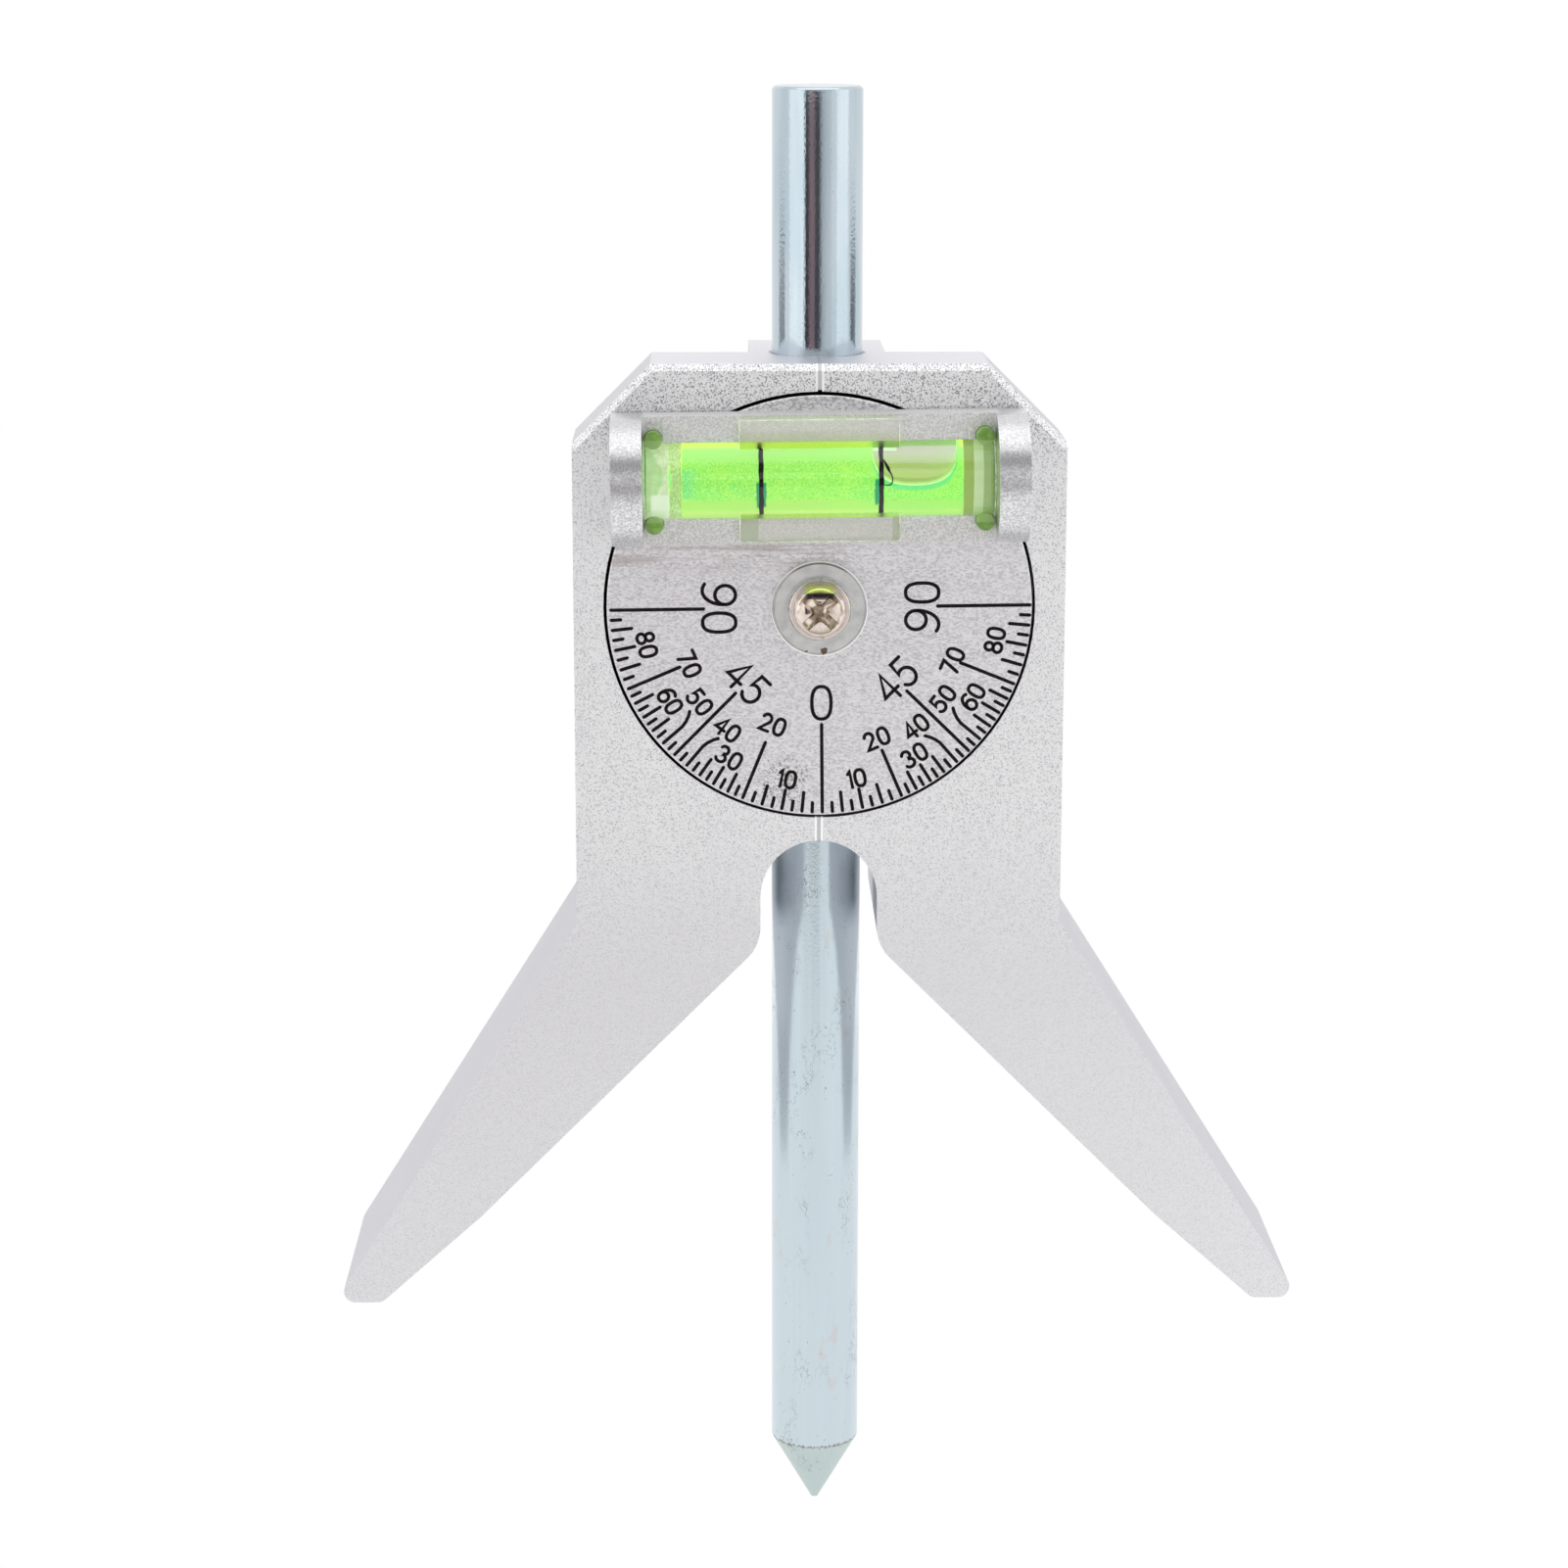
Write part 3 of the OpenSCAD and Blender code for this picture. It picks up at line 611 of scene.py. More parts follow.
def edge_glint(tree, shader):
    """The vial's narrow rounded edges, which gather light."""
    mottle = noise(tree, 900, 3, 0.7)
    cloudy(shader, mix_color(mottle, (0.80, 0.86, 0.74), (1.0, 1.0, 0.96)), (0.95, 1.0, 0.92),
           mottle.ramp(0.35, 0.65, 0.75, 0.35), 0.35)


def bubble_skin(tree, shader):
    """The air bubble's skin: painted light across it in pale bands and a white highlight streak, painted
    dark, green and cream rims along the fluid, and metal behind it.
    """
    x, turn = along_vial(tree)
    rim, _ = above_level(tree)
    edge = turn + (noise(tree, 500) - 0.5) * 5
    # Painted light: bands by the angle around the barrel, a white highlight streak, and dark, green and cream
    # rims along the fluid
    color = edge.blend(14, 30, (0.56, 0.60, 0.20), (0.66, 0.58, 0.46)).paint(
        edge.window(26, 32, 4), (0.50, 0.50, 0.20),
        edge.ramp(42, 54), (0.78, 0.56, 0.72),
        turn.window(61, 66, 3) * x.ramp(8.3, 8.1), WHITE,
        edge.ramp(68, 76), (0.44, 0.58, 0.26),
        rim.window(0.75, 0.95, 0.12), (0.42, 0.50, 0.14),
        rim.ramp(0.72, 0.62), (0.56, 0.78, 0.24),
        rim.ramp(0.54, 0.46), (0.92, 1.0, 0.66))
    cloudy(shader, color, (0.92, 1.0, 0.86), 0.32, 0.28)


def green_acrylic(tree, shader):
    """Olive green pins, lighter where the light comes in."""
    mottle = noise(tree, 1100, 3, 0.6)
    outward = abs(axes(tree)[2] - VIAL_Z / MM)
    base = mottle.blend(0.35, 0.65, (0.15, 0.32, 0.045), (0.25, 0.45, 0.09)).paint(
        outward.ramp(4.5, 4.3), (0.32, 0.52, 0.16))
    finish(shader, base, 0.2, mottle, 0.03, 0.4)


def nylon(tree, shader):
    """Natural nylon, matt and faintly mottled."""
    mottle = noise(tree, 1200, 3)
    finish(shader, mix_color(mottle, (0.74, 0.74, 0.69), (0.84, 0.84, 0.79)), 0.45, mottle, 0.01, 0.3)


# Every slot of the record has a function of its name, or is a plain plating
materials = {paint.__name__: material(paint.__name__, paint) for paint in (
    blasted_aluminium, dial_aluminium, holder_aluminium, zinc_steel, zinc_washer, black_enamel,
    clear_acrylic, green_fluid, green_acrylic, nickel, nylon)}
for slot_name, *values in (("plated_steel", (0.58, 0.59, 0.58), (0.70, 0.71, 0.70), 0.25, 0.38),
                           ("bright_steel", (0.66, 0.66, 0.68), (0.76, 0.76, 0.78), 0.08, 0.14),
                           ("black_steel", (0.05, 0.05, 0.055), (0.10, 0.10, 0.11), 0.30, 0.42)):
    materials[slot_name] = material(slot_name, plated, *values)


def piece(name, bm, body, slot, *replaced, looks=(), sharp=32):
    """A new object from bm on a body, in place of CAD nodes, with its slot's material or other looks."""
    mesh = finished_mesh(name, bm, math.radians(sharp))
    for look in looks or (materials[slot],):
        mesh.materials.append(look)
    made = linked(name, mesh)
    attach(made, body)
    if replaced:
        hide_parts(*replaced)
    return made


def finished_mesh(name, bm, sharp):
    """A mesh from bm with outward normals, smooth but for edges sharper than that angle."""
    bmesh.ops.recalc_face_normals(bm, faces=bm.faces)
    for face in bm.faces:
        face.smooth = True
    for edge in bm.edges:
        edge.smooth = len(edge.link_faces) < 2 or edge.calc_face_angle(0) < sharp
    mesh = bpy.data.meshes.new(name)
    bm.to_mesh(mesh)
    bm.free()
    return mesh


def softened(name, node, body, slot, width):
    """A piece in place of a CAD node: the node's own shape with its edges rounded by width."""
    bm = bmesh.new()
    bm.from_mesh(nodes[node].data)
    bmesh.ops.remove_doubles(bm, verts=bm.verts, dist=0.0005 * MM)
    bmesh.ops.dissolve_limit(bm, angle_limit=math.radians(0.2), verts=bm.verts, edges=bm.edges)
    round_edges(bm, width, 28)
    for face in bm.faces:
        face.material_index = 0
    even_shading(piece(name, bm, body, slot, node))


def round_edges(bm, width, min_angle, outer_only=False, look=-1):
    """Rounds the edges sharper than min_angle degrees; the new faces may take another look by number."""
    edges = [e for e in bm.edges if len(e.link_faces) == 2
             and e.calc_face_angle(0) > math.radians(min_angle) and (e.is_convex or not outer_only)]
    bmesh.ops.bevel(bm, geom=edges, offset=width, segments=2, profile=0.5, affect="EDGES",
                    clamp_overlap=True, material=look)


def even_shading(made):
    """Keeps flat faces flat: normals follow the largest face at each corner."""
    smooth = made.modifiers.new("even_shading", "WEIGHTED_NORMAL")
    smooth.mode = "FACE_AREA"
    smooth.weight = 90
    smooth.keep_sharp = True


def turns(steps):
    """Angles in radians once around, in equal steps."""
    return [math.tau * i / steps for i in range(steps)]


def dots(bm, at, points):
    """New points of bm, placed by a matrix."""
    return [bm.verts.new(at @ Vector(point)) for point in points]


def turned(bm, profile, steps, at):
    """Adds a profile of (radius, height) pairs, turned about z and placed by a matrix."""
    join_rings(bm, [dots(bm, at, [(radius * math.cos(t), radius * math.sin(t), height)
                                  for t in turns(steps if radius else 1)]) for radius, height in profile])


def join_rings(bm, rings):
    """Faces between neighbouring rings of points; a ring of one point closes to a tip."""
    for one, two in zip(rings, rings[1:]):
        count = max(len(one), len(two))
        for i in range(count):
            j = (i + 1) % count
            corners = (one[i % len(one)], one[j % len(one)], two[j % len(two)], two[i % len(two)])
            bm.faces.new(list(dict.fromkeys(corners)))


def close_ends(bm, rings):
    bm.faces.new(rings[0])
    bm.faces.new(reversed(rings[-1]))


def arc(x, z, rx, rz, start, end, steps=16):
    """Points of an elliptic arc from start to end, in degrees."""
    turn = [math.radians(start + (end - start) * i / steps) for i in range(steps + 1)]
    return [(x + rx * math.cos(t), z + rz * math.sin(t)) for t in turn]


def oval(x, z, rx, rz, square=2.0):
    """A closed oval; square above 2 straightens its sides."""
    turn = [math.tau * (0.25 + i / 40) for i in range(40)]
    return [(x + rx * math.copysign(abs(math.cos(t)) ** (2 / square), math.cos(t)),
             z + rz * math.copysign(abs(math.sin(t)) ** (2 / square), math.sin(t))) for t in turn]


# The center lines of each digit: shares of its height, z up, as (points, closed)
SIX = [(arc(0.43, 0.36, 0.43, 0.64, 62, 180), False), (oval(0.29, 0.31, 0.29, 0.31), True)]
DIGITS = {
    "0": [(oval(0.29, 0.5, 0.29, 0.5, 2.5), True)],
    "1": [([(0.0, 0.84), (0.14, 1.0), (0.14, 0.0)], False)],
    "2": [(arc(0.27, 0.72, 0.26, 0.28, 160, -38) + [(0.0, 0.0), (0.56, 0.0)], False)],
    "3": [(arc(0.25, 0.755, 0.25, 0.245, 155, -90) + arc(0.25, 0.255, 0.29, 0.255, 90, -155), False)],
    "4": [([(0.44, 0.0), (0.44, 1.0), (0.0, 0.29), (0.62, 0.29)], False)],
    "5": [([(0.52, 1.0), (0.12, 1.0), (0.07, 0.55)] + arc(0.25, 0.31, 0.30, 0.32, 118, -150), False)],
    "6": SIX,
    "7": [([(0.0, 1.0), (0.54, 1.0), (0.18, 0.0)], False)],
    "8": [(oval(0.29, 0.755, 0.235, 0.245), True), (oval(0.29, 0.255, 0.29, 0.255), True)],
    "9": [([(0.58 - x, 1 - z) for x, z in path], closed) for path, closed in SIX],
}


def stroke(bm, points, width, closed=False):
    """A raised line of ink along points in the dial's frame, with round ends."""
    points = [Vector((x, 0, z)) for x, z in points]
    count = len(points)
    caps = [math.radians(a) for a in (80, 55, 28)]
    rings = []

    def ring(at, side, share):
        half = side * (width / 2 * share)
        bevel = 1 - 0.5 * share
        section = ((-half, INK_T), (-half, -INK_T * 0.4), (-half * bevel, -INK_T),
                   (half * bevel, -INK_T), (half, -INK_T * 0.4), (half, INK_T))
        rings.append([bm.verts.new(on_dial @ (at + offset + Vector((INK_SHIFT, y, 0))))
                      for offset, y in section])

    for i, at in enumerate(points):
        before = (at - points[i - 1]).normalized() if closed or i else None
        after = (points[(i + 1) % count] - at).normalized() if closed or i < count - 1 else None
        ahead = ((before or after) + (after or before)).normalized()
        miter = 1 / max(0.5, ahead.dot(before or after))
        side = Vector((ahead.z, 0, -ahead.x))
        if before is None:
            for t in caps:
                ring(at - ahead * (width / 2 * math.sin(t)), side, math.cos(t))
        ring(at, side * miter, 1)
        if after is None:
            for t in reversed(caps):
                ring(at + ahead * (width / 2 * math.sin(t)), side, math.cos(t))
    join_rings(bm, rings + rings[:1] if closed else rings)
    if not closed:
        close_ends(bm, rings)


def polar(radius, angle):
    """A point of the dial at an angle in degrees from its lowest point, positive to the right."""
    return radius * math.sin(math.radians(angle)), -radius * math.cos(math.radians(angle))


def scale_angle(value):
    """Where the scale's value stands on the dial: 20, 45, 70 and 90 stand 22.5 degrees apart."""
    stops = (0, 20, 45, 70, 90)
    for i, (low, high) in enumerate(zip(stops, stops[1:])):
        if value <= high:
            return 22.5 * (i + (value - low) / (high - low))


def number(bm, text, radius, angle, height, width):
    """Digits with their tops towards the dial's center."""
    tall = height - width
    widths = [(ONE_W if c == "1" else DIGIT_W) * tall for c in text]
    gap = DIGIT_GAP * tall
    start = -(sum(widths) + gap * (len(text) - 1)) / 2
    cos, sin = math.cos(math.radians(angle)), math.sin(math.radians(angle))
    middle_x, middle_z = polar(radius, angle)
    for c, w in zip(text, widths):
        for path, closed in DIGITS[c]:
            local = [(start + x * tall, (z - 0.5) * tall) for x, z in path]
            stroke(bm, [(middle_x + x * cos - z * sin, middle_z + x * sin + z * cos) for x, z in local],
                   width, closed)
        start += w + gap


def dial_lines():
    """The scale's lines every 2.5 units from 0 to 90, both ways."""
    bm = bmesh.new()
    outer = DIAL_R - RIM_GAP - TICK_W / 2
    for step in range(37):
        value = 2.5 * step
        for side in (-1, 1) if step else (1,):
            length = TICK_MAIN.get(value, TICK_FINE if step % 2 else TICK_MID)
            if value in (20, 70):
                length = (TICK_20 if value == 20 else TICK_70)[side]
            angle = side * scale_angle(value)
            path = [polar(outer, angle), polar(outer - length, angle)]
            if value in LEADER_BEND:
                path = [polar(outer - LEADER_L * along, angle + side * LEADER_BEND[value] * bend)
                        for along, bend in LEADER_PATH]
            stroke(bm, path, TICK_W)
    piece("dial_lines", bm, "dial", "black_enamel", "dial_scale")


def dial_numbers():
    """The figures, mirrored in place but not in form."""
    bm = bmesh.new()
    number(bm, "0", ZERO_AT, 0, BIG_H, BIG_STROKE)
    for side in (-1, 1):
        number(bm, "45", AT_45, side * 45, MIDDLE_H, BIG_STROKE)
        number(bm, "90", AT_90, side * 90, BIG_H, BIG_STROKE)
        for value, (radius, angle) in {**SMALL_FIGURES, 20: FIGURE_20[side]}.items():
            number(bm, str(value), radius * MM, side * angle, SMALL_H, SMALL_STROKE)
    piece("dial_numbers", bm, "dial", "black_enamel")


def punch():
    """The round bar: a rounded point, a crisp shoulder and a chamfered struck end."""
    low, high, r = punch_low.z, punch_high.z, PUNCH_R
    slope = (r - TIP_R) / CONE_H
    tip = [(0, low)] + [(x * MM, low + h * MM) for x, h in ((0.16, 0.01), (0.30, 0.05), (0.42, 0.13))]
    cone = [(TIP_R + slope * (h - 0.03 * MM), low + h)
            for h in (0.36 * MM, 2 * MM, 5 * MM, CONE_H - 0.12 * MM)]
    shoulder = [(r - 0.03 * MM, SHOULDER_Z - 0.01 * MM), (r, SHOULDER_Z + 0.12 * MM)]
    bar = [(r, SHOULDER_Z + share * (high - SHOULDER_Z)) for share in (0.02, 0.25, 0.5, 0.75, 0.98)]
    end = [(r - x * MM, high - h * MM) for x, h in ((0, 0.34), (0.05, 0.25), (0.25, 0.04), (0.36, 0))]
    bm = bmesh.new()
    turned(bm, tip + cone + shoulder + bar + end + [(r * 0.5, high), (0, high)], 144, Matrix.Identity(4))
    even_shading(piece("punch_bar", bm, "punch", "zinc_steel", "center_punch"))


def cross_outline(turn):
    """The cross recess's edge: its radius at an angle in radians from the screw's axis."""
    off = (turn + math.pi / 2) % (math.pi / 2) - math.pi / 4
    end = CROSS_ARM / math.cos(off)
    side = CROSS_HALF_W / max(abs(math.sin(off)), 1e-6)
    return (side ** 6 + CROSS_VALLEY ** 6) ** (1 / 6) if side < end else end


def crown_height(r):
    """The pan head's height at radius r: a flat dome, then a quick round to the side."""
    if r <= CROWN_R:
        return SCREW_H - (DOME_R - math.sqrt(DOME_R ** 2 - r ** 2))
    lean = math.asin(CROWN_R / DOME_R)
    middle_r = CROWN_R - ROUND_R * math.sin(lean)
    middle_h = crown_height(CROWN_R) - ROUND_R * math.cos(lean)
    return middle_h + math.sqrt(max(0.0, ROUND_R ** 2 - (r - middle_r) ** 2))


def center_screw():
    """A pan head screw with a cross recess, a thin flange and its shank."""
    bm = bmesh.new()
    at = shift(PIVOT.x, SCREW_SEAT_Y, PIVOT.z) @ tilt(math.pi / 2, "X")
    rings = [dots(bm, at, [(0, 0, SCREW_H - CROSS_DEEP)])]

    def ring(radius_of, height_at):
        """A ring from its radius at each angle and its height at each radius."""
        rings.append(dots(bm, at, [(r * math.cos(t), r * math.sin(t), height_at(r))
                                   for t, r in ((t, radius_of(t)) for t in turns(192))]))

    for share, depth in CROSS_FLOOR:
        ring(lambda t: share * cross_outline(t), lambda r: crown_height(0) - depth * MM)
    for share, drop in CROSS_EDGE:
        ring(lambda t: share * cross_outline(t), lambda r: crown_height(r) - drop * MM)
    for part in (0.3, 0.65, 1.0):
        ring(lambda t: CROSS_LIP * cross_outline(t) * (1 - part) + CROSS_RIM * part, crown_height)
    for radius in CROWN_RINGS:
        ring(lambda t: radius * MM, crown_height)
    for radius, height in SCREW_SKIRT:
        ring(lambda t: radius * MM, lambda r: height * MM)
    join_rings(bm, rings + [dots(bm, at, [(0, 0, SHANK_END)])])
    piece("cross_screw", bm, "head", "nickel", "center_screw", sharp=38)


def vial_body():
    """The clear block: a long flange, a raised middle and the barrel through both."""
    thin, thick, back = (math.degrees(math.asin(out / BARREL_R))
                         for out in (FLANGE_T - BARREL_OUT, MIDDLE_T - BARREL_OUT, -BARREL_OUT))

    def sweep(start, end, count):
        """Points of the barrel's section, degrees from the top towards the front."""
        angles = [math.radians(start + (end - start) * i / count) for i in range(count + 1)]
        return [(-BARREL_OUT - BARREL_R * math.sin(t), BARREL_R * math.cos(t)) for t in angles]

    half = FLANGE_H / 2
    parts = {"shoulder": sweep(thin, thick, 8), "front": sweep(thick, 180 - thick, 40),
             "low_shoulder": sweep(180 - thick, 180 - thin, 8), "rear": sweep(180 - back, 360 + back, 44)}
    for name, y in (("back", 0), ("thin", -FLANGE_T), ("thick", -MIDDLE_T)):
        parts["top_" + name], parts["low_" + name] = [(y, half)], [(y, -half)]
    bm = bmesh.new()
    first, left, right, last = (
        {name: dots(bm, on_vial, [(x, y, z) for y, z in points]) for name, points in parts.items()}
        for x in (-VIAL_L / 2, -MIDDLE_W / 2, MIDDLE_W / 2, VIAL_L / 2))
    thin_loop = ("top_back", "top_thin", "shoulder", "front", "low_shoulder", "low_thin", "low_back", "rear")

    def loop(made, names):
        return [v for name in names for v in made[name]]

    def walls(one, two, names, closed=True):
        a, b = loop(one, names), loop(two, names)
        for i in range(len(a) if closed else len(a) - 1):
            j = (i + 1) % len(a)
            if (a[i].co - a[j].co).length > 1e-7:
                bm.faces.new((a[i], a[j], b[j], b[i]))

    walls(first, left, thin_loop)
    walls(right, last, thin_loop)
    walls(left, right, ("top_thick", "front", "low_thick"), False)
    walls(left, right, ("low_back", "rear", "top_back"), False)
    for end in ("top_", "low_"):
        names = (end + "back", end + "thin", end + "thick")
        bm.faces.new(loop(left, names) + loop(right, reversed(names)))
    for made in (left, right):
        bm.faces.new(loop(made, ("top_thin", "top_thick")) + list(reversed(made["shoulder"])))
        bm.faces.new(loop(made, ("low_shoulder", "low_thin", "low_thick")))
    for made in (first, last):
        bm.faces.new(loop(made, thin_loop))
        for spare in loop(made, ("top_thick", "low_thick")):
            bm.verts.remove(spare)
    bmesh.ops.remove_doubles(bm, verts=bm.verts, dist=0.001 * MM)
    bmesh.ops.recalc_face_normals(bm, faces=bm.faces)
    round_edges(bm, 0.12 * MM, 35, True, 1)
    piece("vial_body", bm, "dial", "clear_acrylic", "vial_block",
          looks=(materials["clear_acrylic"], material("edge_glint", edge_glint)))


def fluid_level(x):
    """The height of the fluid's surface above the barrel's axis, where the bubble lies on it."""
    share = min(1.0, abs(x - BUBBLE_X) / BUBBLE_HALF_L)
    return CHAMBER_R - BUBBLE_DEEP * (1 - share ** BUBBLE_FLAT) ** (1 / BUBBLE_ROUND)


def chamber_rings(bm, stations, shape):
    """A closed form along the chamber: at each x, shape bends its circle's points."""
    circle = [(CHAMBER_R * math.cos(t), CHAMBER_R * math.sin(t)) for t in turns(128)]
    rings = [dots(bm, on_vial, [(x, -BARREL_OUT + y, z) for y, z in (shape(x, *point) for point in circle)])
             for x in stations]
    join_rings(bm, rings)
    close_ends(bm, rings)


def meniscus(y, level):
    """How much the fluid climbs near the chamber's wall."""
    wall = math.sqrt(max(1e-9, CHAMBER_R ** 2 - min(level, CHAMBER_R * 0.98) ** 2))
    return MENISCUS_H * min(1, abs(y) / wall) ** 4


def along_bubble(half):
    """Places from end to end of a bubble of that half length, closer together near its ends."""
    return [BUBBLE_X - half * math.cos(math.pi * i / 72) for i in range(73)]


def level_fluid():
    """The fluid fills the chamber up to the bubble's underside; a lens of it lies behind the plug."""
    def shape(x, y, z):
        level = fluid_level(x)
        return (y, min(z, level + meniscus(y, level))) if level < CHAMBER_R else (y, z)

    left, right = -VIAL_L / 2 + PLUG_L, VIAL_L / 2 - END_WALL
    ends = (BUBBLE_X - BUBBLE_HALF_L, BUBBLE_X + BUBBLE_HALF_L)
    stations = [left, left + 0.06 * MM] + [left + (ends[0] - left) * i / 24 for i in range(1, 24)]
    stations += along_bubble(BUBBLE_HALF_L)
    stations += [ends[1] + (right - ends[1]) * i / 4 for i in range(1, 5)]
    bm = bmesh.new()
    chamber_rings(bm, stations, shape)
    lens = [(LENS_R * math.sin(math.pi * i / 16), LENS_T * math.cos(math.pi * i / 16)) for i in range(1, 16)]
    turned(bm, [(0, LENS_T)] + lens + [(0, -LENS_T)], 40,
           on_vial @ shift(LENS_X, -BARREL_OUT, 0) @ tilt(math.pi / 2, "Y"))
    piece("level_fluid", bm, "dial", "green_fluid", "vial_fluid")


def bubble():
    """The air above the fluid."""
    inside = 1 - BUBBLE_CLEAR / CHAMBER_R

    def shape(x, y, z):
        level = fluid_level(x) + BUBBLE_CLEAR
        if z >= level + meniscus(y, level):
            return y * inside, z * inside
        wall = math.sqrt(max(0, CHAMBER_R ** 2 - level ** 2)) * inside
        y = max(-wall, min(wall, y))
        return y, min(level + meniscus(y, level), CHAMBER_R)

    bm = bmesh.new()
    chamber_rings(bm, along_bubble(BUBBLE_HALF_L - BUBBLE_CLEAR)[1:-1], shape)
    bmesh.ops.remove_doubles(bm, verts=bm.verts, dist=0.0008 * MM)
    piece("level_bubble", bm, "dial", "clear_acrylic", looks=(material("bubble_skin", bubble_skin),))


def on_chamber(x, turn, lift):
    """A point a little outside the chamber's wall; turn is in degrees, 0 to the front and 90 up."""
    r, t = CHAMBER_R + lift, math.radians(turn)
    return on_vial @ Vector((x, -BARREL_OUT - r * math.cos(t), r * math.sin(t)))


def reading_lines():
    """Two painted rings around the fluid with uneven edges, and a stray hair of paint beside one."""
    bm = bmesh.new()
    inner, outer = 0.015 * MM, 0.07 * MM
    for side in (-1, 1):
        rings = []
        for lift, half, way in ((inner, LINE_HALF_W - inner, -1), (inner, LINE_HALF_W - inner, 1),
                                (outer, LINE_HALF_W, 1), (outer, LINE_HALF_W, -1)):
            rings.append([])
            for t in turns(96):
                wave = 0.018 * MM * (math.sin(5 * t + side) + math.sin(11 * t + 2 * way))
                x = side * LINES_APART / 2 + LINES_SHIFT + way * (half + wave)
                rings[-1].append(bm.verts.new(on_chamber(x, math.degrees(t), lift)))
        join_rings(bm, rings + rings[:1])
    rings = []
    for i, (x, turn, half) in enumerate(PAINT_HAIR):
        before, after = PAINT_HAIR[max(i - 1, 0)], PAINT_HAIR[min(i + 1, len(PAINT_HAIR) - 1)]
        rise = (after[1] - before[1]) * math.radians(CHAMBER_R / MM)
        along = Vector((after[0] - before[0], rise)).normalized()
        across = Vector((-along.y, along.x)) * half
        ends = [(x + way * across.x, turn + way * math.degrees(across.y * MM / CHAMBER_R)) for way in (-1, 1)]
        rings.append([bm.verts.new(on_chamber(ends[k][0] * MM, ends[k][1], lift * MM))
                      for k, lift in ((0, 0.02), (1, 0.02), (1, 0.06), (0, 0.06))])
    join_rings(bm, rings)
    close_ends(bm, rings)
    piece("reading_lines", bm, "dial", "black_enamel", "vial_lines")


def vial_ends():
    """The plug with its hollow at the left, and the solid wall at the right."""
    bm = bmesh.new()
    at = on_vial @ shift(0, -BARREL_OUT, 0) @ tilt(math.pi / 2, "Y")
    left, inner, right = -VIAL_L / 2, -VIAL_L / 2 + PLUG_L, VIAL_L / 2
    # Each profile: (share of the chamber's radius, from which place along the vial, mm from it)
    plug = ((0, left, 2.35), (0.5, left, 1.9), (0.87, left, 1.4), (0.95, left, 0.2), (1, left, 0.25),
            (1, inner, -1.55), (0.98, inner, -1.45), (0.5, inner, -1.40), (0, inner, -1.38))
    wall = ((0, right - END_WALL, 0.05), (1, right - END_WALL, 0.05), (1, right, -0.6), (0.9, right, -0.45),
            (0, right, -0.45))
    for profile in (plug, wall):
        turned(bm, [(share * CHAMBER_R, place + off * MM) for share, place, off in profile], 96, at)
    piece("vial_ends", bm, "dial", "clear_acrylic", "vial_plug", looks=(material("vial_core", vial_core),))


def vial_pins():
    """Four round pins at the vial's corners, with rounded ends."""
    low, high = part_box("vial_pins")
    bm = bmesh.new()
    soft = 0.12 * MM
    profile = [(0, 0), (PIN_R - soft, 0), (PIN_R - soft * 0.3, soft * 0.3), (PIN_R, soft),
               (PIN_R, high.y - low.y), (0, high.y - low.y)]
    for side in (-1, 1):
        for up in (-1, 1):
            turned(bm, profile, 48, on_vial @ shift(side * PIN_X, low.y - VIAL_BACK, up * PIN_Z)
                   @ tilt(-math.pi / 2, "X"))
    piece("round_pins", bm, "dial", "green_acrylic", "vial_pins")


dial_lines()
dial_numbers()
softened("head_body", "head", "head", "blasted_aluminium", HEAD_EDGE)
softened("holder_bar", "level_holder", "dial", "holder_aluminium", 0.15 * MM)
softened("wide_washer", "flat_washer", "head", "zinc_washer", 0.16 * MM)
softened("narrow_washer", "split_washer", "head", "plated_steel", 0.10 * MM)
punch()
center_screw()
vial_body()
level_fluid()
bubble()
reading_lines()
vial_ends()
vial_pins()

# CAD nodes that keep their own shape take their slot's material
for row in frame["record"]["subparts"]:
    node = nodes[row["node"]]
    node.data.materials.clear()
    node.data.materials.append(materials[row["material_slot"]])


def stage_plane(name, corners, paint, *values):
    """A flat piece of the stage, with a material of its own."""
    mesh = bpy.data.meshes.new(name)
    mesh.from_pydata(corners, [], [(0, 1, 2, 3)])
    mesh.materials.append(material(name + "_paper", paint, *values))
    made = linked(name, mesh)
    return made


def white_paper(tree, shader):
    """White to the eye, in gloss and through glass, with a faint shadow."""
    finish(shader, (0.93, 0.93, 0.93), 1, Specular_IOR_Level=0)
    white = add(tree, "Emission", {"Color": WHITE, "Strength": 1.0}).outputs[0]
    surface(mix_shader(ray_is(tree, "Camera", "Transmission", "Glossy") * 0.97, shader.outputs[0], white))


def floor():
    """The floor, just below the punch's lowest place."""
    size = 4.0
    stage_plane("floor", [(x * size, y * size, FLOOR_Z) for x, y in ((-1, -1), (1, -1), (1, 1), (-1, 1))],
                white_paper)


def striped_paper(tree, shader, axis, start, end, stops):
    """Matt paper whose color follows stops of (share, color) from start to end, in mm along an axis."""
    along = axes(tree)[axis]
    color = stops[0][1]
    for (low, _), (high, shade) in zip(stops, stops[1:]):
        color = along.blend(start + (end - start) * low, start + (end - start) * high, color, shade)
    finish(shader, color, 1, Specular_IOR_Level=0)


def card(name, corner_a, corner_b, bottom, top, *stops):
    """An upright card that only reflections and light meet; stops are (share of its width, color)."""
    axis = 1 if corner_a[0] == corner_b[0] else 0
    corners = [(*corner_a, bottom), (*corner_b, bottom), (*corner_b, top), (*corner_a, top)]
    made = stage_plane(name, corners, striped_paper, axis, corner_a[axis] / MM, corner_b[axis] / MM, stops)
    made.visible_camera = False


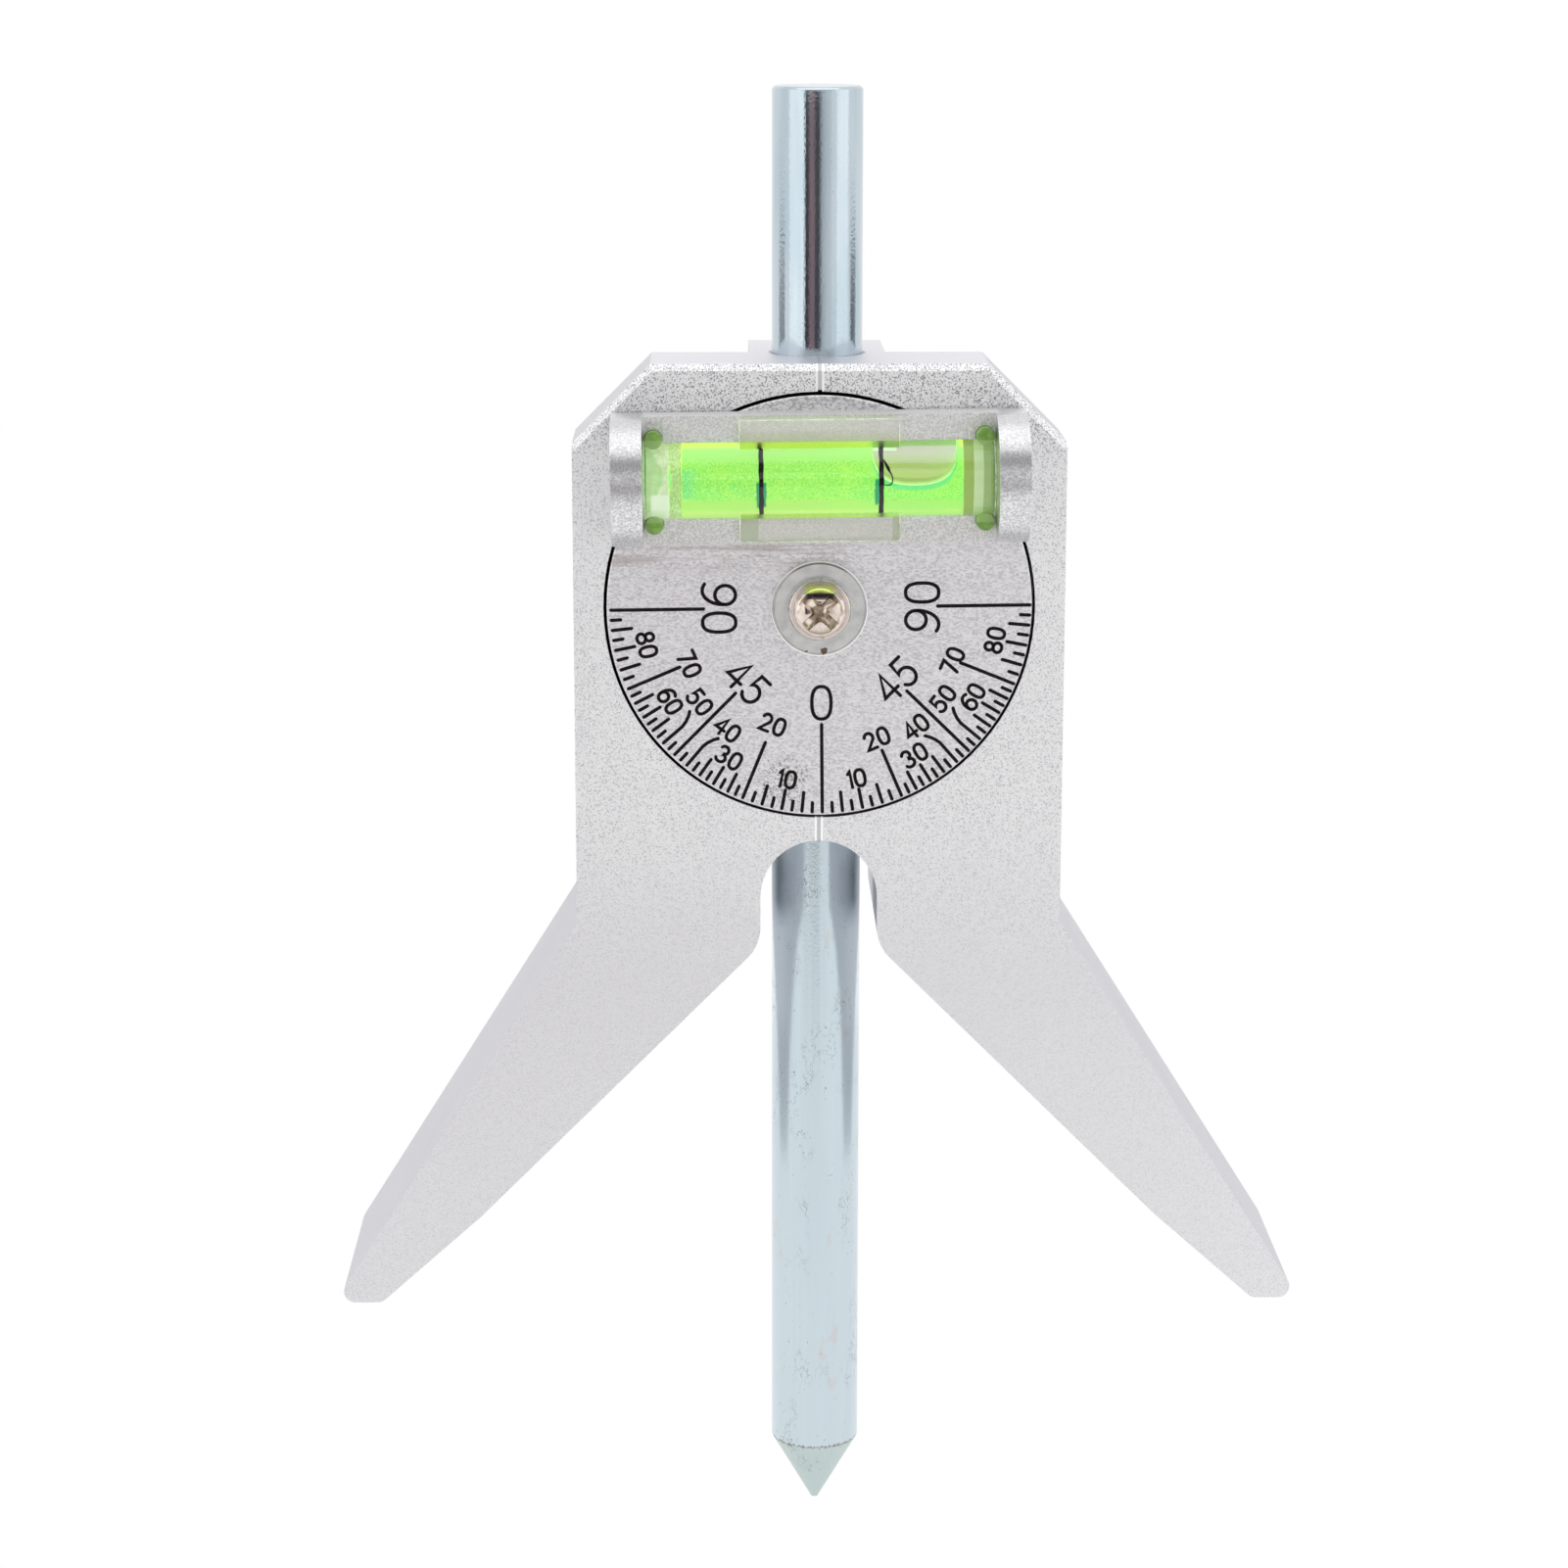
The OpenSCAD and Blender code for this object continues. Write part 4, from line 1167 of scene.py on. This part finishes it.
def world():
    """White all round. What mirrors the side in front of the object sees it very slightly blue."""
    made = bpy.data.worlds.new("studio")
    bpy.context.scene.world = made
    made.use_nodes = True
    tree = made.node_tree
    tree.nodes.clear()
    y = xyz(add(tree, "TexCoord").outputs["Generated"])[1]
    color = y.blend(0.0, 0.7, (0.985, 0.985, 1.0), WHITE).paint(
        ray_is(tree, "Camera", "Transmission"), WHITE)
    back = add(tree, "Background", {"Color": color, "Strength": 1.0}).outputs[0]
    add(tree, "OutputWorld", {"Surface": back})


def lamp(name, at, width, height, brightness):
    """A soft box at a point, facing the object. brightness is the radiance of its face."""
    data = bpy.data.lights.new(name, "AREA")
    data.shape = "RECTANGLE"
    data.size, data.size_y = width, height
    data.energy = brightness * math.pi * width * height
    made = linked(name, data)
    made.location = at
    made.rotation_euler = (-Vector(at)).to_track_quat("-Z", "Y").to_euler()


def camera():
    """The photograph's camera, from a fit to the object's edges."""
    data = bpy.data.cameras.new("camera")
    data.sensor_width = 36
    data.lens = 88.48
    data.shift_x = -0.0008
    data.shift_y = 0.0004
    made = linked("camera", data)
    right = Vector((0.99983501, -0.01815412, 0.00061255))
    up = Vector((0.00335126, 0.21750379, 0.97605372))
    ahead = Vector((0.01785263, 0.97589063, -0.21752875))
    turn = Matrix((right, up, -ahead)).transposed().to_4x4()
    made.matrix_world = Matrix.Translation(Vector((-11.2702, -425.9060, 103.9655)) * MM) @ turn
    bpy.context.scene.camera = made


floor()
card("front_card", (-0.336, -0.52), (0.36, -0.52), FLOOR_Z, 0.10,
     (0.0, (0.06, 0.055, 0.06)), (0.164, (0.065, 0.06, 0.065)), (0.19, (0.32, 0.205, 0.22)),
     (0.37, (0.31, 0.20, 0.215)), (0.40, (0.09, 0.085, 0.09)), (0.526, (0.10, 0.095, 0.10)),
     (0.59, (0.48, 0.475, 0.485)), (0.66, (0.62, 0.62, 0.63)), (0.80, (0.76, 0.76, 0.77)),
     (1.0, (0.86, 0.86, 0.87)))
card("hood_card", (-0.50, -0.52), (0.50, -0.52), 0.27, 0.80,
     (0.0, (0.12, 0.12, 0.125)), (1.0, (0.14, 0.14, 0.145)))
card("left_card", (-0.60, 0.02), (-0.60, 0.26), FLOOR_Z, 0.02,
     (0.0, (0.32, 0.33, 0.35)), (1.0, (0.46, 0.47, 0.49)))
card("right_card", (0.60, 0.02), (0.60, 0.24), FLOOR_Z, 0.02,
     (0.0, (0.20, 0.21, 0.23)), (1.0, (0.30, 0.31, 0.33)))
world()
lamp("left_box", (-0.50, -0.34, 0.25), 0.5, 0.62, 0.34)
lamp("right_box", (0.55, -0.25, 0.25), 0.42, 0.62, 0.30)
lamp("top_box", (0, -0.15, 0.75), 0.8, 0.8, 0.50)
camera()

bpy.context.scene.view_settings.view_transform = "Standard"
